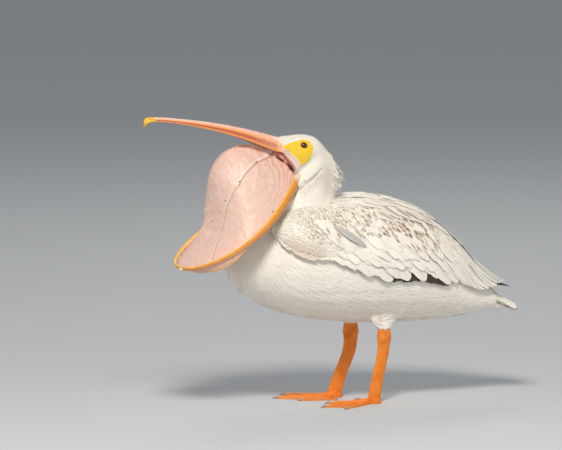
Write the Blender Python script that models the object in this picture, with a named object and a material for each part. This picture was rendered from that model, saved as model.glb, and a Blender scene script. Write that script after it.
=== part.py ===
"""A life-size white pelican standing with its bill wide open and its pouch pushed up over its neck.

Metres, +Z up. The bird faces -X, its left side is -Y, and its soles rest on z = 0.
The head, bill and pouch are turned a little to the bird's left, about the nape.
"""

import math

import bmesh
import bpy
import numpy as np

GAP = 0.0004  # what neighbouring pieces keep between them
VANE = 0.0009  # thickness of a feather vane
CROWN = 0.0012  # how much higher a vane's middle stands than its edges
WING_LIFT = 0.0013  # how far the wing's inner side stays off the torso

# Torso: x, top, bottom and half width. Behind 0.36 the rows carry the tail and the wing tips.
BODY = (
    (-0.2636, 0.334, 0.324, 0.006),
    (-0.2560, 0.366, 0.294, 0.036),
    (-0.2350, 0.402, 0.266, 0.066),
    (-0.1850, 0.436, 0.233, 0.094),
    (-0.1100, 0.457, 0.203, 0.114),
    (-0.0300, 0.467, 0.188, 0.121),
    (0.0600, 0.470, 0.180, 0.120),
    (0.1200, 0.462, 0.177, 0.114),
    (0.1700, 0.446, 0.176, 0.106),
    (0.2300, 0.411, 0.177, 0.091),
    (0.2800, 0.366, 0.181, 0.074),
    (0.3300, 0.302, 0.188, 0.057),
    (0.3800, 0.254, 0.197, 0.047),
    (0.4200, 0.230, 0.202, 0.046),
    (0.4700, 0.208, 0.190, 0.050),
)
BODY_END = 0.420  # the torso's own end, drawn in over its last stretch
BODY_TAPER = 0.365
BELLY_FULLNESS = 0.10  # how much wider the lower half is than the upper

# Head: turned by this about the nape, which stands over the origin. Lengths run forward from there.
HEAD_TURN = math.radians(12)
# forward, top, bottom, half width
HEAD = (
    (0.012, 0.584, 0.568, 0.006),
    (0.022, 0.595, 0.561, 0.018),
    (0.036, 0.606, 0.555, 0.026),
    (0.055, 0.6175, 0.549, 0.032),
    (0.075, 0.6230, 0.541, 0.035),
    (0.095, 0.6242, 0.531, 0.0365),
    (0.110, 0.6238, 0.525, 0.0365),
    (0.122, 0.6230, 0.541, 0.034),
    (0.136, 0.6218, 0.572, 0.029),
    (0.1485, 0.6205, 0.5865, 0.0245),
)
EYE = (0.094, 0.0250, 0.5995)  # forward, sideways, height of the eyeball's middle
EYE_RADIUS = 0.0090
LID_RADIUS = 0.0072
LID_HALF = 0.0019  # half thickness of the lids' rim
NOSTRIL = (0.172, 0.0100, 0.6155)  # forward, sideways and height of a nostril's middle
NOSTRIL_HALVES = (0.0055, 0.0008, 0.0012)

# Upper bill: forward, top, bottom, half width
BILL = (
    (0.1489, 0.6200, 0.5870, 0.0240),
    (0.1650, 0.6250, 0.5910, 0.0228),
    (0.2000, 0.6350, 0.6045, 0.0200),
    (0.2500, 0.6480, 0.6240, 0.0175),
    (0.3000, 0.6590, 0.6400, 0.0155),
    (0.3530, 0.6685, 0.6535, 0.0147),
    (0.4000, 0.6755, 0.6640, 0.0150),
    (0.4460, 0.6815, 0.6723, 0.0155),
    (0.4720, 0.6835, 0.6752, 0.0140),
)
# Nail at the bill's tip: forward, middle height, half height, half width
NAIL = (
    (0.4840, 0.6795, 0.0046, 0.0108),
    (0.4925, 0.6770, 0.0050, 0.0076),
    (0.4975, 0.6715, 0.0048, 0.0048),
    (0.4965, 0.6645, 0.0022, 0.0022),
)
NAIL_TIP = (0.4945, 0.6615)

# Lower bill: two thin bows, spread into a hoop that slopes down from the jaw.
JAW = (0.117, 0.5276)  # forward and height of the hoop's root
HOOP_SLOPE = math.radians(34.5)
HOOP = (
    (-0.014, 0.0270),
    (0.004, 0.0350),
    (0.050, 0.0590),
    (0.100, 0.0800),
    (0.150, 0.0940),
    (0.200, 0.1000),
    (0.250, 0.0975),
    (0.296, 0.0830),
    (0.326, 0.0570),
    (0.339, 0.0295),
    (0.342, 0.0000),
)  # along the hoop and sideways from its middle
HOOP_SAG = 0.010
HOOP_ROLL = 0.05  # how much lower the left bow hangs in the middle of its length, per metre sideways
BOW_HALF = 0.0027  # half thickness of a bow
BOW_TOP = 0.0030
BOW_DEPTH_JAW = 0.0165
BOW_DEPTH_TIP = 0.0070
KNOB_HALVES = (0.0065, 0.0050, 0.0048)  # the small horny knob where the bows meet

# Pouch: height of its ridge over the hoop, by distance along the hoop
RIDGE = (
    (-0.010, 0.050),
    (0.006, 0.076),
    (0.022, 0.103),
    (0.042, 0.128),
    (0.065, 0.1435),
    (0.094, 0.1485),
    (0.138, 0.1345),
    (0.178, 0.0890),
    (0.211, 0.0440),
    (0.234, 0.0250),
    (0.292, 0.0100),
    (0.342, 0.0000),
)
MOUTH_RETREAT = 0.006  # how far the pouch's middle starts behind its corners
POUCH_START = 0.045  # share of a bow's length behind the pouch's corner
RIDGE_LEAN = 0.24  # how far the neck pushes the ridge to the bird's right
POUCH_THICK = 0.0016
POUCH_FOLD = 0.010  # how far the slack skin hangs under the front of the hoop
POUCH_DROP = 0.007  # how far below the bows' tops the skin is rooted there

# Neck: height, front and rear (forward of the nape's pivot) and half width
NECK = (
    (0.392, 0.205, 0.030, 0.070),
    (0.425, 0.205, 0.012, 0.074),
    (0.455, 0.192, 0.002, 0.070),
    (0.472, 0.180, -0.0025, 0.065),
    (0.490, 0.164, -0.0090, 0.059),
    (0.510, 0.146, -0.0135, 0.052),
    (0.530, 0.128, -0.0140, 0.046),
    (0.550, 0.112, -0.0070, 0.040),
    (0.570, 0.100, 0.0025, 0.034),
    (0.587, 0.082, 0.0150, 0.024),
    (0.597, 0.062, 0.0275, 0.012),
)

# Flesh at the back of the open mouth: forward and height of its middle, its slope, and half sizes
THROAT = (0.130, 0.5560)
THROAT_SLOPE = 53
THROAT_RADII = (0.0046, 0.018, 0.028)

# Wing, in body coordinates: x and the angle down from the middle of the back, in degrees
WING_TOP_EDGE = (
    (-0.168, 43),
    (-0.160, 32),
    (-0.146, 26),
    (-0.110, 22),
    (-0.050, 18),
    (0.020, 14),
    (0.080, 10),
    (0.140, 8),
    (0.225, 7),
)
WING_LOW_EDGE = (
    (-0.168, 49),
    (-0.160, 60),
    (-0.143, 69),
    (-0.118, 76),
    (-0.081, 81),
    (-0.040, 82),
    (0.010, 80),
    (0.050, 74),
    (0.100, 66),
    (0.150, 54),
    (0.200, 38),
    (0.225, 26),
)
WING_THICK = (
    (-0.168, 0.007),
    (-0.160, 0.017),
    (-0.143, 0.025),
    (-0.090, 0.030),
    (-0.030, 0.026),
    (0.050, 0.019),
    (0.120, 0.015),
    (0.180, 0.012),
    (0.225, 0.007),
)
# Where the flight feathers end along the flank
FEATHER_EDGE = (
    (-0.058, 78),
    (-0.024, 86),
    (0.010, 93),
    (0.057, 99),
    (0.103, 103.5),
    (0.154, 102),
    (0.193, 100),
    (0.237, 99),
    (0.278, 92.5),
    (0.310, 84),
    (0.351, 67),
    (0.392, 35),
)

# Legs: height and x of each leg's middle line, and how many degrees its foot points outwards
LEFT_LEG = (
    (0.010, 0.0780),
    (0.046, 0.0844),
    (0.088, 0.0938),
    (0.118, 0.1000),
    (0.150, 0.1025),
    (0.260, 0.0960),
)
RIGHT_LEG = (
    (0.010, 0.0240),
    (0.050, 0.0370),
    (0.088, 0.0530),
    (0.110, 0.0608),
    (0.140, 0.0638),
    (0.260, 0.0600),
)
LEGS = {"left": {"heading": 16, "path": LEFT_LEG}, "right": {"heading": 6, "path": RIGHT_LEG}}
ANKLE = 0.152  # height of the knobbly joint
LEG_APART = 0.064  # from the bird's middle to each leg
LEG_LONG = 0.0158  # a shank's half size along the foot, and across it
LEG_WIDE = 0.0074
LEG_CUT = 0.032  # height where the shank meets the foot
THIGH_CUT = 0.168  # height where the feathers end
# Toes: angle outwards from the foot's heading, and length
TOES = ((24, 0.126), (0, 0.142), (-28, 0.108), (-78, 0.058))
WEB = 0.0024
HEEL = 0.015
TOE_RADIUS = 0.0055

# Tail: a fan of overlapping vanes from its root down to its tip
TAIL_ROOT = (0.352, 0.2435)
TAIL_SLOPE = math.radians(24)
TAIL_LENGTH = 0.1035
TAIL_FEATHERS = 12
TAIL_SPREAD = math.radians(50)

COLOURS = {
    "white_feather": (0.86, 0.83, 0.78, 0.9),
    "wing_feather": (0.80, 0.75, 0.69, 0.85),
    "orange_skin": (0.90, 0.30, 0.03, 0.5),
    "bill_horn": (0.86, 0.38, 0.18, 0.45),
    "pouch_skin": (0.85, 0.55, 0.47, 0.55),
    "eye": (0.03, 0.02, 0.02, 0.1),
}


def smooth_line(rows):
    """A smooth function of the rows' first column that gives the others and never overshoots them."""
    table = np.array(rows, float)
    xs, ys = table[:, 0], table[:, 1:]
    steps = np.diff(xs)[:, None]
    slopes = np.diff(ys, axis=0) / steps
    tangents = np.zeros_like(ys)
    tangents[0], tangents[-1] = slopes[0], slopes[-1]
    same_way = slopes[1:] * slopes[:-1] > 0
    safe = np.where(same_way, slopes[1:] + slopes[:-1], 1.0)
    tangents[1:-1] = np.where(same_way, 2 * slopes[1:] * slopes[:-1] / safe, 0.0)

    def at(x):
        x = np.clip(np.asarray(x, float), xs[0], xs[-1])
        i = np.clip(np.searchsorted(xs, x, side="right") - 1, 0, len(xs) - 2)
        h = (xs[i + 1] - xs[i])[..., None]
        t = ((x - xs[i])[..., None]) / h
        return (
            ys[i] * (1 + 2 * t) * (1 - t) ** 2
            + tangents[i] * h * t * (1 - t) ** 2
            + ys[i + 1] * t**2 * (3 - 2 * t)
            + tangents[i + 1] * h * t**2 * (t - 1)
        )

    return at


def ease(t):
    t = np.clip(t, 0, 1)
    return t * t * (3 - 2 * t)


def unit(v):
    return v / np.maximum(np.linalg.norm(v, axis=-1, keepdims=True), 1e-12)


body_rows = smooth_line(BODY)
head_rows = smooth_line(HEAD)
bill_rows = smooth_line(BILL)
neck_rows = smooth_line(NECK)
ridge_rows = smooth_line(RIDGE)
wing_top = smooth_line(WING_TOP_EDGE)
wing_low = smooth_line(WING_LOW_EDGE)
wing_thick = smooth_line(WING_THICK)
feather_edge = smooth_line(FEATHER_EDGE)


def material(name):
    found = bpy.data.materials.get(name)
    if found:
        return found
    r, g, b, rough = COLOURS[name]
    made = bpy.data.materials.new(name)
    made.use_nodes = True
    shader = made.node_tree.nodes["Principled BSDF"]
    shader.inputs["Base Color"].default_value = (r, g, b, 1)
    shader.inputs["Roughness"].default_value = rough
    shader.inputs["Metallic"].default_value = 0
    return made


def mesh_object(name, points, faces):
    """One object from points and faces, with its faces turned outwards."""
    mesh = bpy.data.meshes.new(name)
    mesh.from_pydata([tuple(p) for p in np.asarray(points, float)], [], faces)
    shape = bmesh.new()
    shape.from_mesh(mesh)
    bmesh.ops.recalc_face_normals(shape, faces=shape.faces)
    shape.to_mesh(mesh)
    shape.free()
    made = bpy.data.objects.new(name, mesh)
    bpy.context.scene.collection.objects.link(made)
    return made


def loft(name, rings, start=None, end=None):
    """A closed skin over rings of equal size. Each end is a point where one is given, or else a flat cap."""
    count = len(rings[0])
    points = [p for ring in rings for p in ring]
    faces = []
    for i in range(len(rings) - 1):
        for j in range(count):
            k = (j + 1) % count
            faces.append((i * count + j, i * count + k, (i + 1) * count + k, (i + 1) * count + j))
    for point, first, way in ((start, 0, 1), (end, (len(rings) - 1) * count, -1)):
        ring = list(range(first, first + count))
        if point is None:
            faces.append(tuple(ring[::-way]))
            continue
        points.append(point)
        for j in range(count):
            pair = (ring[j], ring[(j + 1) % count])
            faces.append((*pair[::-way], len(points) - 1))
    return mesh_object(name, points, faces)


def boolean(target, others, operation, solver="EXACT"):
    """Applies one Boolean between target and a collection of closed objects, which are then removed."""
    group = bpy.data.collections.new(f"{target.name}_tools")
    bpy.context.scene.collection.children.link(group)
    for other in others:
        for owner in list(other.users_collection):
            owner.objects.unlink(other)
        group.objects.link(other)
    modifier = target.modifiers.new(operation, "BOOLEAN")
    modifier.operation = operation
    modifier.operand_type = "COLLECTION"
    modifier.collection = group
    modifier.solver = solver
    bpy.context.view_layer.update()
    graph = bpy.context.evaluated_depsgraph_get()
    made = bpy.data.meshes.new_from_object(target.evaluated_get(graph))
    target.modifiers.clear()
    target.data = made
    for other in list(group.objects):
        bpy.data.objects.remove(other)
    bpy.data.collections.remove(group)
    return target


def keep_largest(target):
    """Leaves only the target's largest closed surface."""
    shape = bmesh.new()
    shape.from_mesh(target.data)
    unseen, islands = set(shape.faces), []
    while unseen:
        island, edge = set(), [unseen.pop()]
        while edge:
            face = edge.pop()
            island.add(face)
            for near in (n for e in face.edges for n in e.link_faces if n in unseen):
                unseen.discard(near)
                edge.append(near)
        islands.append(island)
    largest = max(islands, key=lambda faces: sum(f.calc_area() for f in faces))
    loose = [f for island in islands if island is not largest for f in island]
    bmesh.ops.delete(shape, geom=loose, context="FACES")
    shape.to_mesh(target.data)
    shape.free()
    return target


def finish_node(target, name, finish):
    target.name = name
    target.data.name = name
    target.data.materials.clear()
    target.data.materials.append(material(finish))
    target.data.shade_smooth()
    target.data.set_sharp_from_angle(angle=math.radians(40))
    return target


def ball(name, centre, radii, rings=8, sides=12):
    """A closed ellipsoid, its poles along Z."""
    centre, radii = np.array(centre), np.array(radii)
    levels = np.linspace(0, math.pi, rings + 1)[1:-1]
    turns = np.arange(sides) * 2 * math.pi / sides
    made = [
        centre
        + radii
        * np.stack([np.sin(a) * np.cos(turns), np.sin(a) * np.sin(turns), np.full(sides, np.cos(a))], -1)
        for a in levels
    ]
    return loft(name, made, centre + radii * (0, 0, 1), centre - radii * (0, 0, 1))


# Torso


def body_surface(x, angle):
    """A point of the torso's left side. The angle runs down from the middle of the back, in radians."""
    rows = body_rows(x)
    top, bottom, half = rows[..., 0], rows[..., 1], rows[..., 2]
    side = half * np.sin(angle) * (1 - BELLY_FULLNESS * np.cos(angle))
    height = (top + bottom) / 2 + (top - bottom) / 2 * np.cos(angle)
    return np.stack(np.broadcast_arrays(x, -side, height), -1)


def body_slopes(x, angle, step=0.004):
    """How the surface point moves with x and with the angle."""
    along = (body_surface(x + step, angle) - body_surface(x - step, angle)) / (2 * step)
    turn = 0.02
    down = (body_surface(x, angle + turn) - body_surface(x, angle - turn)) / (2 * turn)
    return along, down


def body_point(x, angle, lift):
    """A point held off the torso's left side by lift."""
    x, angle = np.asarray(x, float), np.asarray(angle, float)
    along, down = body_slopes(x, angle)
    return body_surface(x, angle) + unit(np.cross(down, along)) * np.asarray(lift)[..., None]


def walk(x, angle, heading, distance):
    """Body coordinates a distance away over the surface. Heading 0 is tailwards and 90 degrees is down."""
    along, down = body_slopes(x, angle)
    way = math.cos(heading) * unit(along) + math.sin(heading) * unit(down)
    moved, *_ = np.linalg.lstsq(np.stack([along, down], -1), way * distance, rcond=None)
    return x + moved[0], angle + moved[1]


def torso_form(name, grow=0.0):
    sides, length = 26, 22
    turns = np.arange(sides) * 2 * math.pi / sides
    share = np.linspace(0, 1, length)
    first, last = BODY[0][0], BODY_END
    xs = first + (last - first) * (0.55 * share + 0.45 * share**2 * (3 - 2 * share))
    rings = []
    for x in xs:
        ring = body_surface(np.full(sides, x), turns)
        drawn = 1 - 0.72 * max(0.0, (x - BODY_TAPER) / (last - BODY_TAPER)) ** 1.8
        centre = ring.mean(axis=0)
        rings.append(centre + (ring - centre) * drawn + unit(ring - centre) * grow)
    nose = np.array([first - 0.0015 - grow, 0, np.mean(BODY[0][1:3])])
    rump = rings[-1].mean(axis=0) + np.array([0.006 + grow, 0, 0])
    return loft(name, rings, nose, rump)


def make_torso():
    finish_node(torso_form("torso"), "torso", "white_feather")


# Head, eyes and upper bill


def head_point(forward, side, height, turn=HEAD_TURN):
    """From the head's own lengths to the bird's frame. Side is positive to the bird's left."""
    forward, side, height = np.broadcast_arrays(forward, side, height)
    return np.stack(
        [
            -forward * np.cos(turn) + side * np.sin(turn),
            -forward * np.sin(turn) - side * np.cos(turn),
            height,
        ],
        -1,
    )


def head_form(name, grow=0.0):
    sides = 20
    turns = np.arange(sides) * 2 * math.pi / sides
    first, last = HEAD[0][0], HEAD[-1][0]
    rings = []
    for forward in np.concatenate([np.linspace(first, 0.10, 11), np.linspace(0.108, last, 6)]):
        top, bottom, half = head_rows(forward)
        middle, tall = (top + bottom) / 2, (top - bottom) / 2 + grow
        flat = 0.10 * np.sin(turns) ** 2
        rings.append(
            head_point(
                forward + grow * (1 if forward == last else 0),
                (half + grow) * np.sin(turns) * (1 + 0.06 * np.cos(turns) ** 2),
                middle + tall * np.cos(turns) * (1 - flat),
            )
        )
    back = head_point(first - 0.004 - grow, 0, (HEAD[0][1] + HEAD[0][2]) / 2)
    return loft(name, rings, back)


def lid_ring(name, side):
    """The rim of skin round one eye."""
    around, about = 14, 5
    middle = np.array([EYE[0], EYE[1] + 0.0035, EYE[2]])
    rings = []
    for a in np.arange(around) * 2 * math.pi / around:
        b = np.arange(about) * 2 * math.pi / about
        reach = LID_RADIUS + LID_HALF * np.cos(b)
        forward = middle[0] + reach * math.cos(a)
        height = middle[2] + reach * math.sin(a) * 0.9
        out = middle[1] + 0.0030 + LID_HALF * np.sin(b) - 0.0030 * math.sin(a)
        rings.append(head_point(forward, side * out, height))
    rings.append(rings[0])
    points = np.concatenate(rings[:-1])
    faces = []
    for i in range(around):
        here, following = i * about, (i + 1) % around * about
        for j in range(about):
            k = (j + 1) % about
            faces.append((here + j, here + k, following + k, following + j))
    return mesh_object(name, points, faces)


def eyeball(name, side, grow=0.0):
    centre = head_point(EYE[0], side * EYE[1], EYE[2])
    return ball(name, centre, (EYE_RADIUS + grow,) * 3, rings=9, sides=14)


def make_head():
    head = head_form("head")
    boolean(head, [lid_ring(f"lid_{side}", side) for side in (1, -1)], "UNION", "MANIFOLD")
    boolean(head, [eyeball(f"socket_{side}", side, GAP) for side in (1, -1)], "DIFFERENCE", "MANIFOLD")
    finish_node(keep_largest(head), "head", "white_feather")
    for word, side in (("left", 1), ("right", -1)):
        finish_node(eyeball(f"eye_{word}", side), f"eye_{word}", "eye")


def make_upper_bill():
    """A long flat roof of horn: a middle ridge, a groove on each side, side plates and a hooked nail."""
    # Half of the section: sideways and up, as shares of the half width and of the depth
    outline = (
        (0.0, 1.0),
        (0.26, 0.93),
        (0.40, 0.60),
        (0.52, 0.66),
        (0.86, 0.42),
        (1.0, 0.10),
        (0.90, 0.0),
        (0.45, 0.16),
    )
    left = [(-s, u) for s, u in outline[::-1] if s > 0]
    section = np.array([*outline, (0.0, 0.20), *left])
    rings = []
    for forward in np.linspace(BILL[0][0], BILL[-1][0], 16):
        top, bottom, half = bill_rows(forward)
        rings.append(head_point(forward, section[:, 0] * half, bottom + section[:, 1] * (top - bottom)))
    for forward, middle, tall, half in NAIL:
        rings.append(
            head_point(
                forward + (section[:, 1] - 0.5) * 0.004,
                section[:, 0] * half,
                middle + (section[:, 1] * 2 - 1) * tall,
            )
        )
    bill = loft("upper_bill", rings, None, head_point(NAIL_TIP[0], 0, NAIL_TIP[1]))
    slits = []
    for side in (1, -1):
        centre = head_point(NOSTRIL[0], side * NOSTRIL[1], NOSTRIL[2])
        slits.append(ball(f"nostril_{side}", centre, NOSTRIL_HALVES, rings=4, sides=6))
    boolean(bill, slits, "DIFFERENCE")
    finish_node(keep_largest(bill), "upper_bill", "bill_horn")


# Lower bill and pouch


def hoop_frame(along, side, up):
    """From lengths in the hoop's sloping plane to the bird's frame."""
    up = up - HOOP_ROLL * side * np.sin(math.pi * np.clip(along / HOOP[-1][0], 0, 1))
    forward = JAW[0] + along * math.cos(HOOP_SLOPE) + up * math.sin(HOOP_SLOPE)
    height = JAW[1] - along * math.sin(HOOP_SLOPE) + up * math.cos(HOOP_SLOPE)
    return head_point(forward, side, height)


def hoop_line(count, start=0.0):
    """Even points of the left bow from a share of its length to the tip, with the way outwards at each."""
    rows = np.array(HOOP)
    index = np.arange(len(rows))
    curve = smooth_line(np.column_stack([index, rows]))
    fine = curve(np.linspace(0, index[-1], 400))
    lengths = np.concatenate([[0], np.cumsum(np.linalg.norm(np.diff(fine, axis=0), axis=1))])
    wanted = np.linspace(start * lengths[-1], lengths[-1], count)
    points = np.column_stack([np.interp(wanted, lengths, fine[:, k]) for k in (0, 1)])
    ways = unit(np.gradient(points, axis=0))
    ways[-1] = (0, -1)
    return points, np.column_stack([-ways[:, 1], ways[:, 0]])


def sag(along):
    return -HOOP_SAG * np.sin(math.pi * np.clip(along / HOOP[-1][0], 0, 1))


def lower_bill_form(name, grow=0.0):
    """Both bows in one piece, from the left jaw round the tip to the right jaw."""
    points, outwards = hoop_line(20)
    share = np.linspace(0, 1, len(points))
    depth = BOW_DEPTH_JAW + (BOW_DEPTH_TIP - BOW_DEPTH_JAW) * ease(share * 1.15)
    # The section: outwards as a share of the half thickness, and up as a share of top or depth
    section = ((1.0, -0.45), (0.9, 0.5), (0.2, 1.0), (-0.8, 0.7), (-1.0, -0.4), (-0.3, -1.0), (0.6, -0.9))
    rings = []
    for (along, side), out, deep in zip(points, outwards, depth):
        ring = []
        for s, u in section:
            reach = s * (BOW_HALF + grow)
            rise = u * (BOW_TOP + grow) if u > 0 else u * (deep + grow)
            ring.append((along + out[0] * reach, side + out[1] * reach, sag(along) + rise))
        rings.append(np.array(ring))
    mirrored = [ring * (1, -1, 1) for ring in rings[-2::-1]]
    made = [hoop_frame(r[:, 0], r[:, 1], r[:, 2]) for r in (*rings, *mirrored)]
    return loft(name, made)


def make_lower_bill():
    bill = lower_bill_form("lower_bill")
    tip = hoop_frame(HOOP[-1][0] + 0.003, 0, -0.002)
    boolean(bill, [ball("knob", tip, KNOB_HALVES, rings=6, sides=8)], "UNION")
    boolean(bill, [head_form("head_cut", GAP)], "DIFFERENCE")
    finish_node(keep_largest(bill), "lower_bill", "bill_horn")


def pouch_height(row_share, across, ridge):
    """Height of the pouch's inner face over the hoop. A tent at the mouth turns into a dome over the neck."""
    dome = ease(row_share / 0.26)
    leaned = across + RIDGE_LEAN * dome * (1 - across**2)
    width = np.abs(leaned)
    tent = np.clip(1 - width, 0, 1) ** 1.2
    arch = np.clip(1 - width**2.3, 0, 1) ** 0.78
    return ridge * (tent + (arch - tent) * dome)


def pouch_rows(rows, across, inset):
    """Points of the pouch's inner face, in the hoop's lengths, as an array of rows by positions across."""
    points, outwards = hoop_line(rows, POUCH_START)
    rims = points - outwards * inset
    made = []
    for i, (along, side) in enumerate(rims[:-1]):
        share = i / (rows - 1)
        retreat = MOUTH_RETREAT * (1 - ease(share / 0.35)) * (1 - across**2)
        line = along - retreat
        drop = POUCH_DROP * ease((share - 0.35) / 0.25) * min(1.0, (1 - share) / 0.10)
        rise = pouch_height(share, across, ridge_rows(line)[..., 0]) - drop * np.abs(across) ** 8
        made.append(np.stack([line, across * side, rise + sag(along)], -1))
    return np.array(made)


def sheet_solid(name, upper, lower, peak_upper, peak_lower):
    """A closed sheet from two grids of like points, whose rows end in one point. Both faces split alike."""
    rows, columns = upper.shape[:2]
    count = rows * columns
    points = np.concatenate([upper.reshape(-1, 3), lower.reshape(-1, 3), [peak_upper, peak_lower]])
    faces = []

    def corner(i, j, layer):
        return layer * count + i * columns + j

    for i in range(rows - 1):
        for j in range(columns - 1):
            quad = [(i, j), (i, j + 1), (i + 1, j + 1), (i + 1, j)]
            for split in ((0, 1, 2), (0, 2, 3)):
                faces.append(tuple(corner(*quad[k], 0) for k in split))
                faces.append(tuple(corner(*quad[k], 1) for k in split[::-1]))
    for j in range(columns - 1):
        last = rows - 1
        faces.append((corner(last, j, 0), corner(last, j + 1, 0), 2 * count))
        faces.append((corner(last, j + 1, 1), corner(last, j, 1), 2 * count + 1))
        faces.append((corner(0, j, 0), corner(0, j, 1), corner(0, j + 1, 1)))
        faces.append((corner(0, j, 0), corner(0, j + 1, 1), corner(0, j + 1, 0)))
    for j in (0, columns - 1):
        for i in range(rows - 1):
            faces.append((corner(i, j, 0), corner(i + 1, j, 1), corner(i, j, 1)))
            faces.append((corner(i, j, 0), corner(i + 1, j, 0), corner(i + 1, j, 1)))
        faces.append((corner(rows - 1, j, 0), 2 * count + 1, corner(rows - 1, j, 1)))
        faces.append((corner(rows - 1, j, 0), 2 * count, 2 * count + 1))
    return mesh_object(name, points, faces)


def make_pouch():
    """The bare skin between the bows, a thin sheet that the neck pushes up into a dome."""
    edge = math.pi / 2 * 0.92
    across = np.sin(np.linspace(-edge, edge, 15)) / math.sin(edge)
    inset = BOW_HALF + GAP
    upper = pouch_rows(19, across, inset)
    along_way = np.gradient(upper, axis=0)
    across_way = np.gradient(upper, axis=1)
    normals = unit(np.cross(along_way, across_way))
    normals *= np.sign(normals[..., 2:3] + 1e-9)
    share = np.linspace(0, 1, len(upper))[:, None]
    fold = POUCH_FOLD * ease((share - 0.45) / 0.3) * np.clip((1 - share) / 0.25, 0, 1) * np.abs(across) ** 6
    lower = upper - normals * POUCH_THICK
    lower[..., 1] = np.clip(lower[..., 1], -np.abs(upper[..., 1]) + 2e-5, np.abs(upper[..., 1]) - 2e-5)
    lower[..., 2] -= fold
    tip = np.array([HOOP[-1][0] - inset - 0.0004, 0, 0])
    grids = [hoop_frame(g[..., 0], g[..., 1], g[..., 2]) for g in (upper, lower)]
    ends = [hoop_frame(*tip), hoop_frame(tip[0], 0, -POUCH_THICK)]
    finish_node(sheet_solid("pouch", *grids, *ends), "pouch", "pouch_skin")


# Neck


def neck_turn(height):
    """How far the neck has turned with the head at one height."""
    return HEAD_TURN * ease((height - 0.43) / 0.12)


def neck_form(name, grow=0.0):
    """The folded neck between shoulders and head, turning with the head on its way up."""
    sides = 20
    turns = np.arange(sides) * 2 * math.pi / sides
    low, high = NECK[0][0], NECK[-1][0]
    rings = []
    for height in np.linspace(low, high, 13):
        front, rear, half = neck_rows(height)
        turn = neck_turn(height)
        middle, reach = (front + rear) / 2, (front - rear) / 2 + grow
        rings.append(head_point(middle + reach * np.cos(turns), (half + grow) * np.sin(turns), height, turn))
    return loft(name, rings, None, head_point(0.045, 0, high + 0.004 + grow))


def neck_bend():
    """The neck's forward bend, which fills the pouch's dome."""
    across = np.linspace(-0.72, 0.72, 9)
    rows = pouch_rows(14, across, BOW_HALF)
    rings = []
    for row in rows[1:10]:
        arch = row.copy()
        arch[:, 2] = arch[:, 2] * 0.93 - 0.006
        under = np.array([row[k] for k in (8, 6, 2, 0)])
        under[:, 2] = (-0.006, -0.030, -0.030, -0.006)
        ring = np.concatenate([arch, under[[0, 1, 2, 3]]])
        rings.append(hoop_frame(ring[:, 0], ring[:, 1], ring[:, 2]))
    return loft("neck_bend", rings)


def nape_vane(name, height, swing, length, rng):
    """A small pointed feather of the ragged crest that stands off the back of the neck."""
    front, rear, half = neck_rows(height)
    turn = neck_turn(height)
    reach = (front - rear) / 2
    root = np.array([(front + rear) / 2 - reach * math.cos(swing), half * math.sin(swing), height])
    way = unit(np.array([-0.30 * math.cos(swing), 0.26 * math.sin(swing), -0.80 + rng.uniform(-0.12, 0.12)]))
    across = unit(np.array([math.sin(swing), math.cos(swing), rng.uniform(-0.2, 0.2)]))
    out = unit(np.cross(across, way))
    out *= np.sign(-out[0] * math.cos(swing) + out[1] * math.sin(swing))
    rings = []
    for share, width in ((-0.30, 0.0070), (0.25, 0.0090), (0.65, 0.0062)):
        middle = root + way * length * share + out * 0.0010
        corners = [
            middle - across * width,
            middle + out * 0.0014,
            middle + across * width,
            middle - out * 0.0014,
        ]
        rings.append(np.array([head_point(*corner, turn) for corner in corners]))
    return loft(name, rings, None, head_point(*(root + way * length), turn))


def nape_vanes():
    rng = np.random.default_rng(7)
    vanes = []
    for row, height in enumerate((0.572, 0.550, 0.528, 0.508)):
        count = 3 + row % 2
        for k in range(count):
            swing = (k - (count - 1) / 2) * 0.50
            vanes.append(nape_vane(f"nape_{row}_{k}", height, swing, rng.uniform(0.020, 0.027), rng))
    return vanes


def make_throat():
    """The flesh between the palate and the pouch, seen in the open mouth."""
    throat = ball("throat", (0, 0, 0), THROAT_RADII, rings=6, sides=12)
    slope = math.radians(THROAT_SLOPE)
    for vertex in throat.data.vertices:
        thick, side, long = vertex.co
        forward = THROAT[0] + long * math.cos(slope) + thick * math.sin(slope)
        height = THROAT[1] + long * math.sin(slope) - thick * math.cos(slope)
        vertex.co = head_point(forward, side, height)
    for cutter in (head_form("head_cut", GAP), neck_form("neck_cut", GAP)):
        boolean(throat, [cutter], "DIFFERENCE")
    finish_node(keep_largest(throat), "throat", "pouch_skin")


def make_neck():
    neck = neck_form("neck")
    boolean(neck, [neck_bend(), *nape_vanes()], "UNION", "MANIFOLD")
    cutters = [
        head_form("head_cut", GAP),
        torso_form("torso_cut", GAP),
        lower_bill_form("bow_cut", 0.0012),
        wing_core("left_wing_cut", GAP),
        mirrored(wing_core("right_wing_cut", GAP)),
    ]
    for cutter in cutters:
        boolean(neck, [cutter], "DIFFERENCE", "MANIFOLD")
    finish_node(keep_largest(neck), "neck", "white_feather")


# Feathers


def feather_width(share):
    """A vane's width from root to tip, as a share of its widest."""
    return min(1.0, 0.42 + 1.15 * share) * math.sqrt(max(0.0, 1 - max(0.0, (share - 0.72) / 0.30) ** 2.4))


VANE_STATIONS = (0.0, 0.45, 0.80, 0.97)
LONG_STATIONS = (0.0, 0.27, 0.54, 0.80, 0.97)


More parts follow.
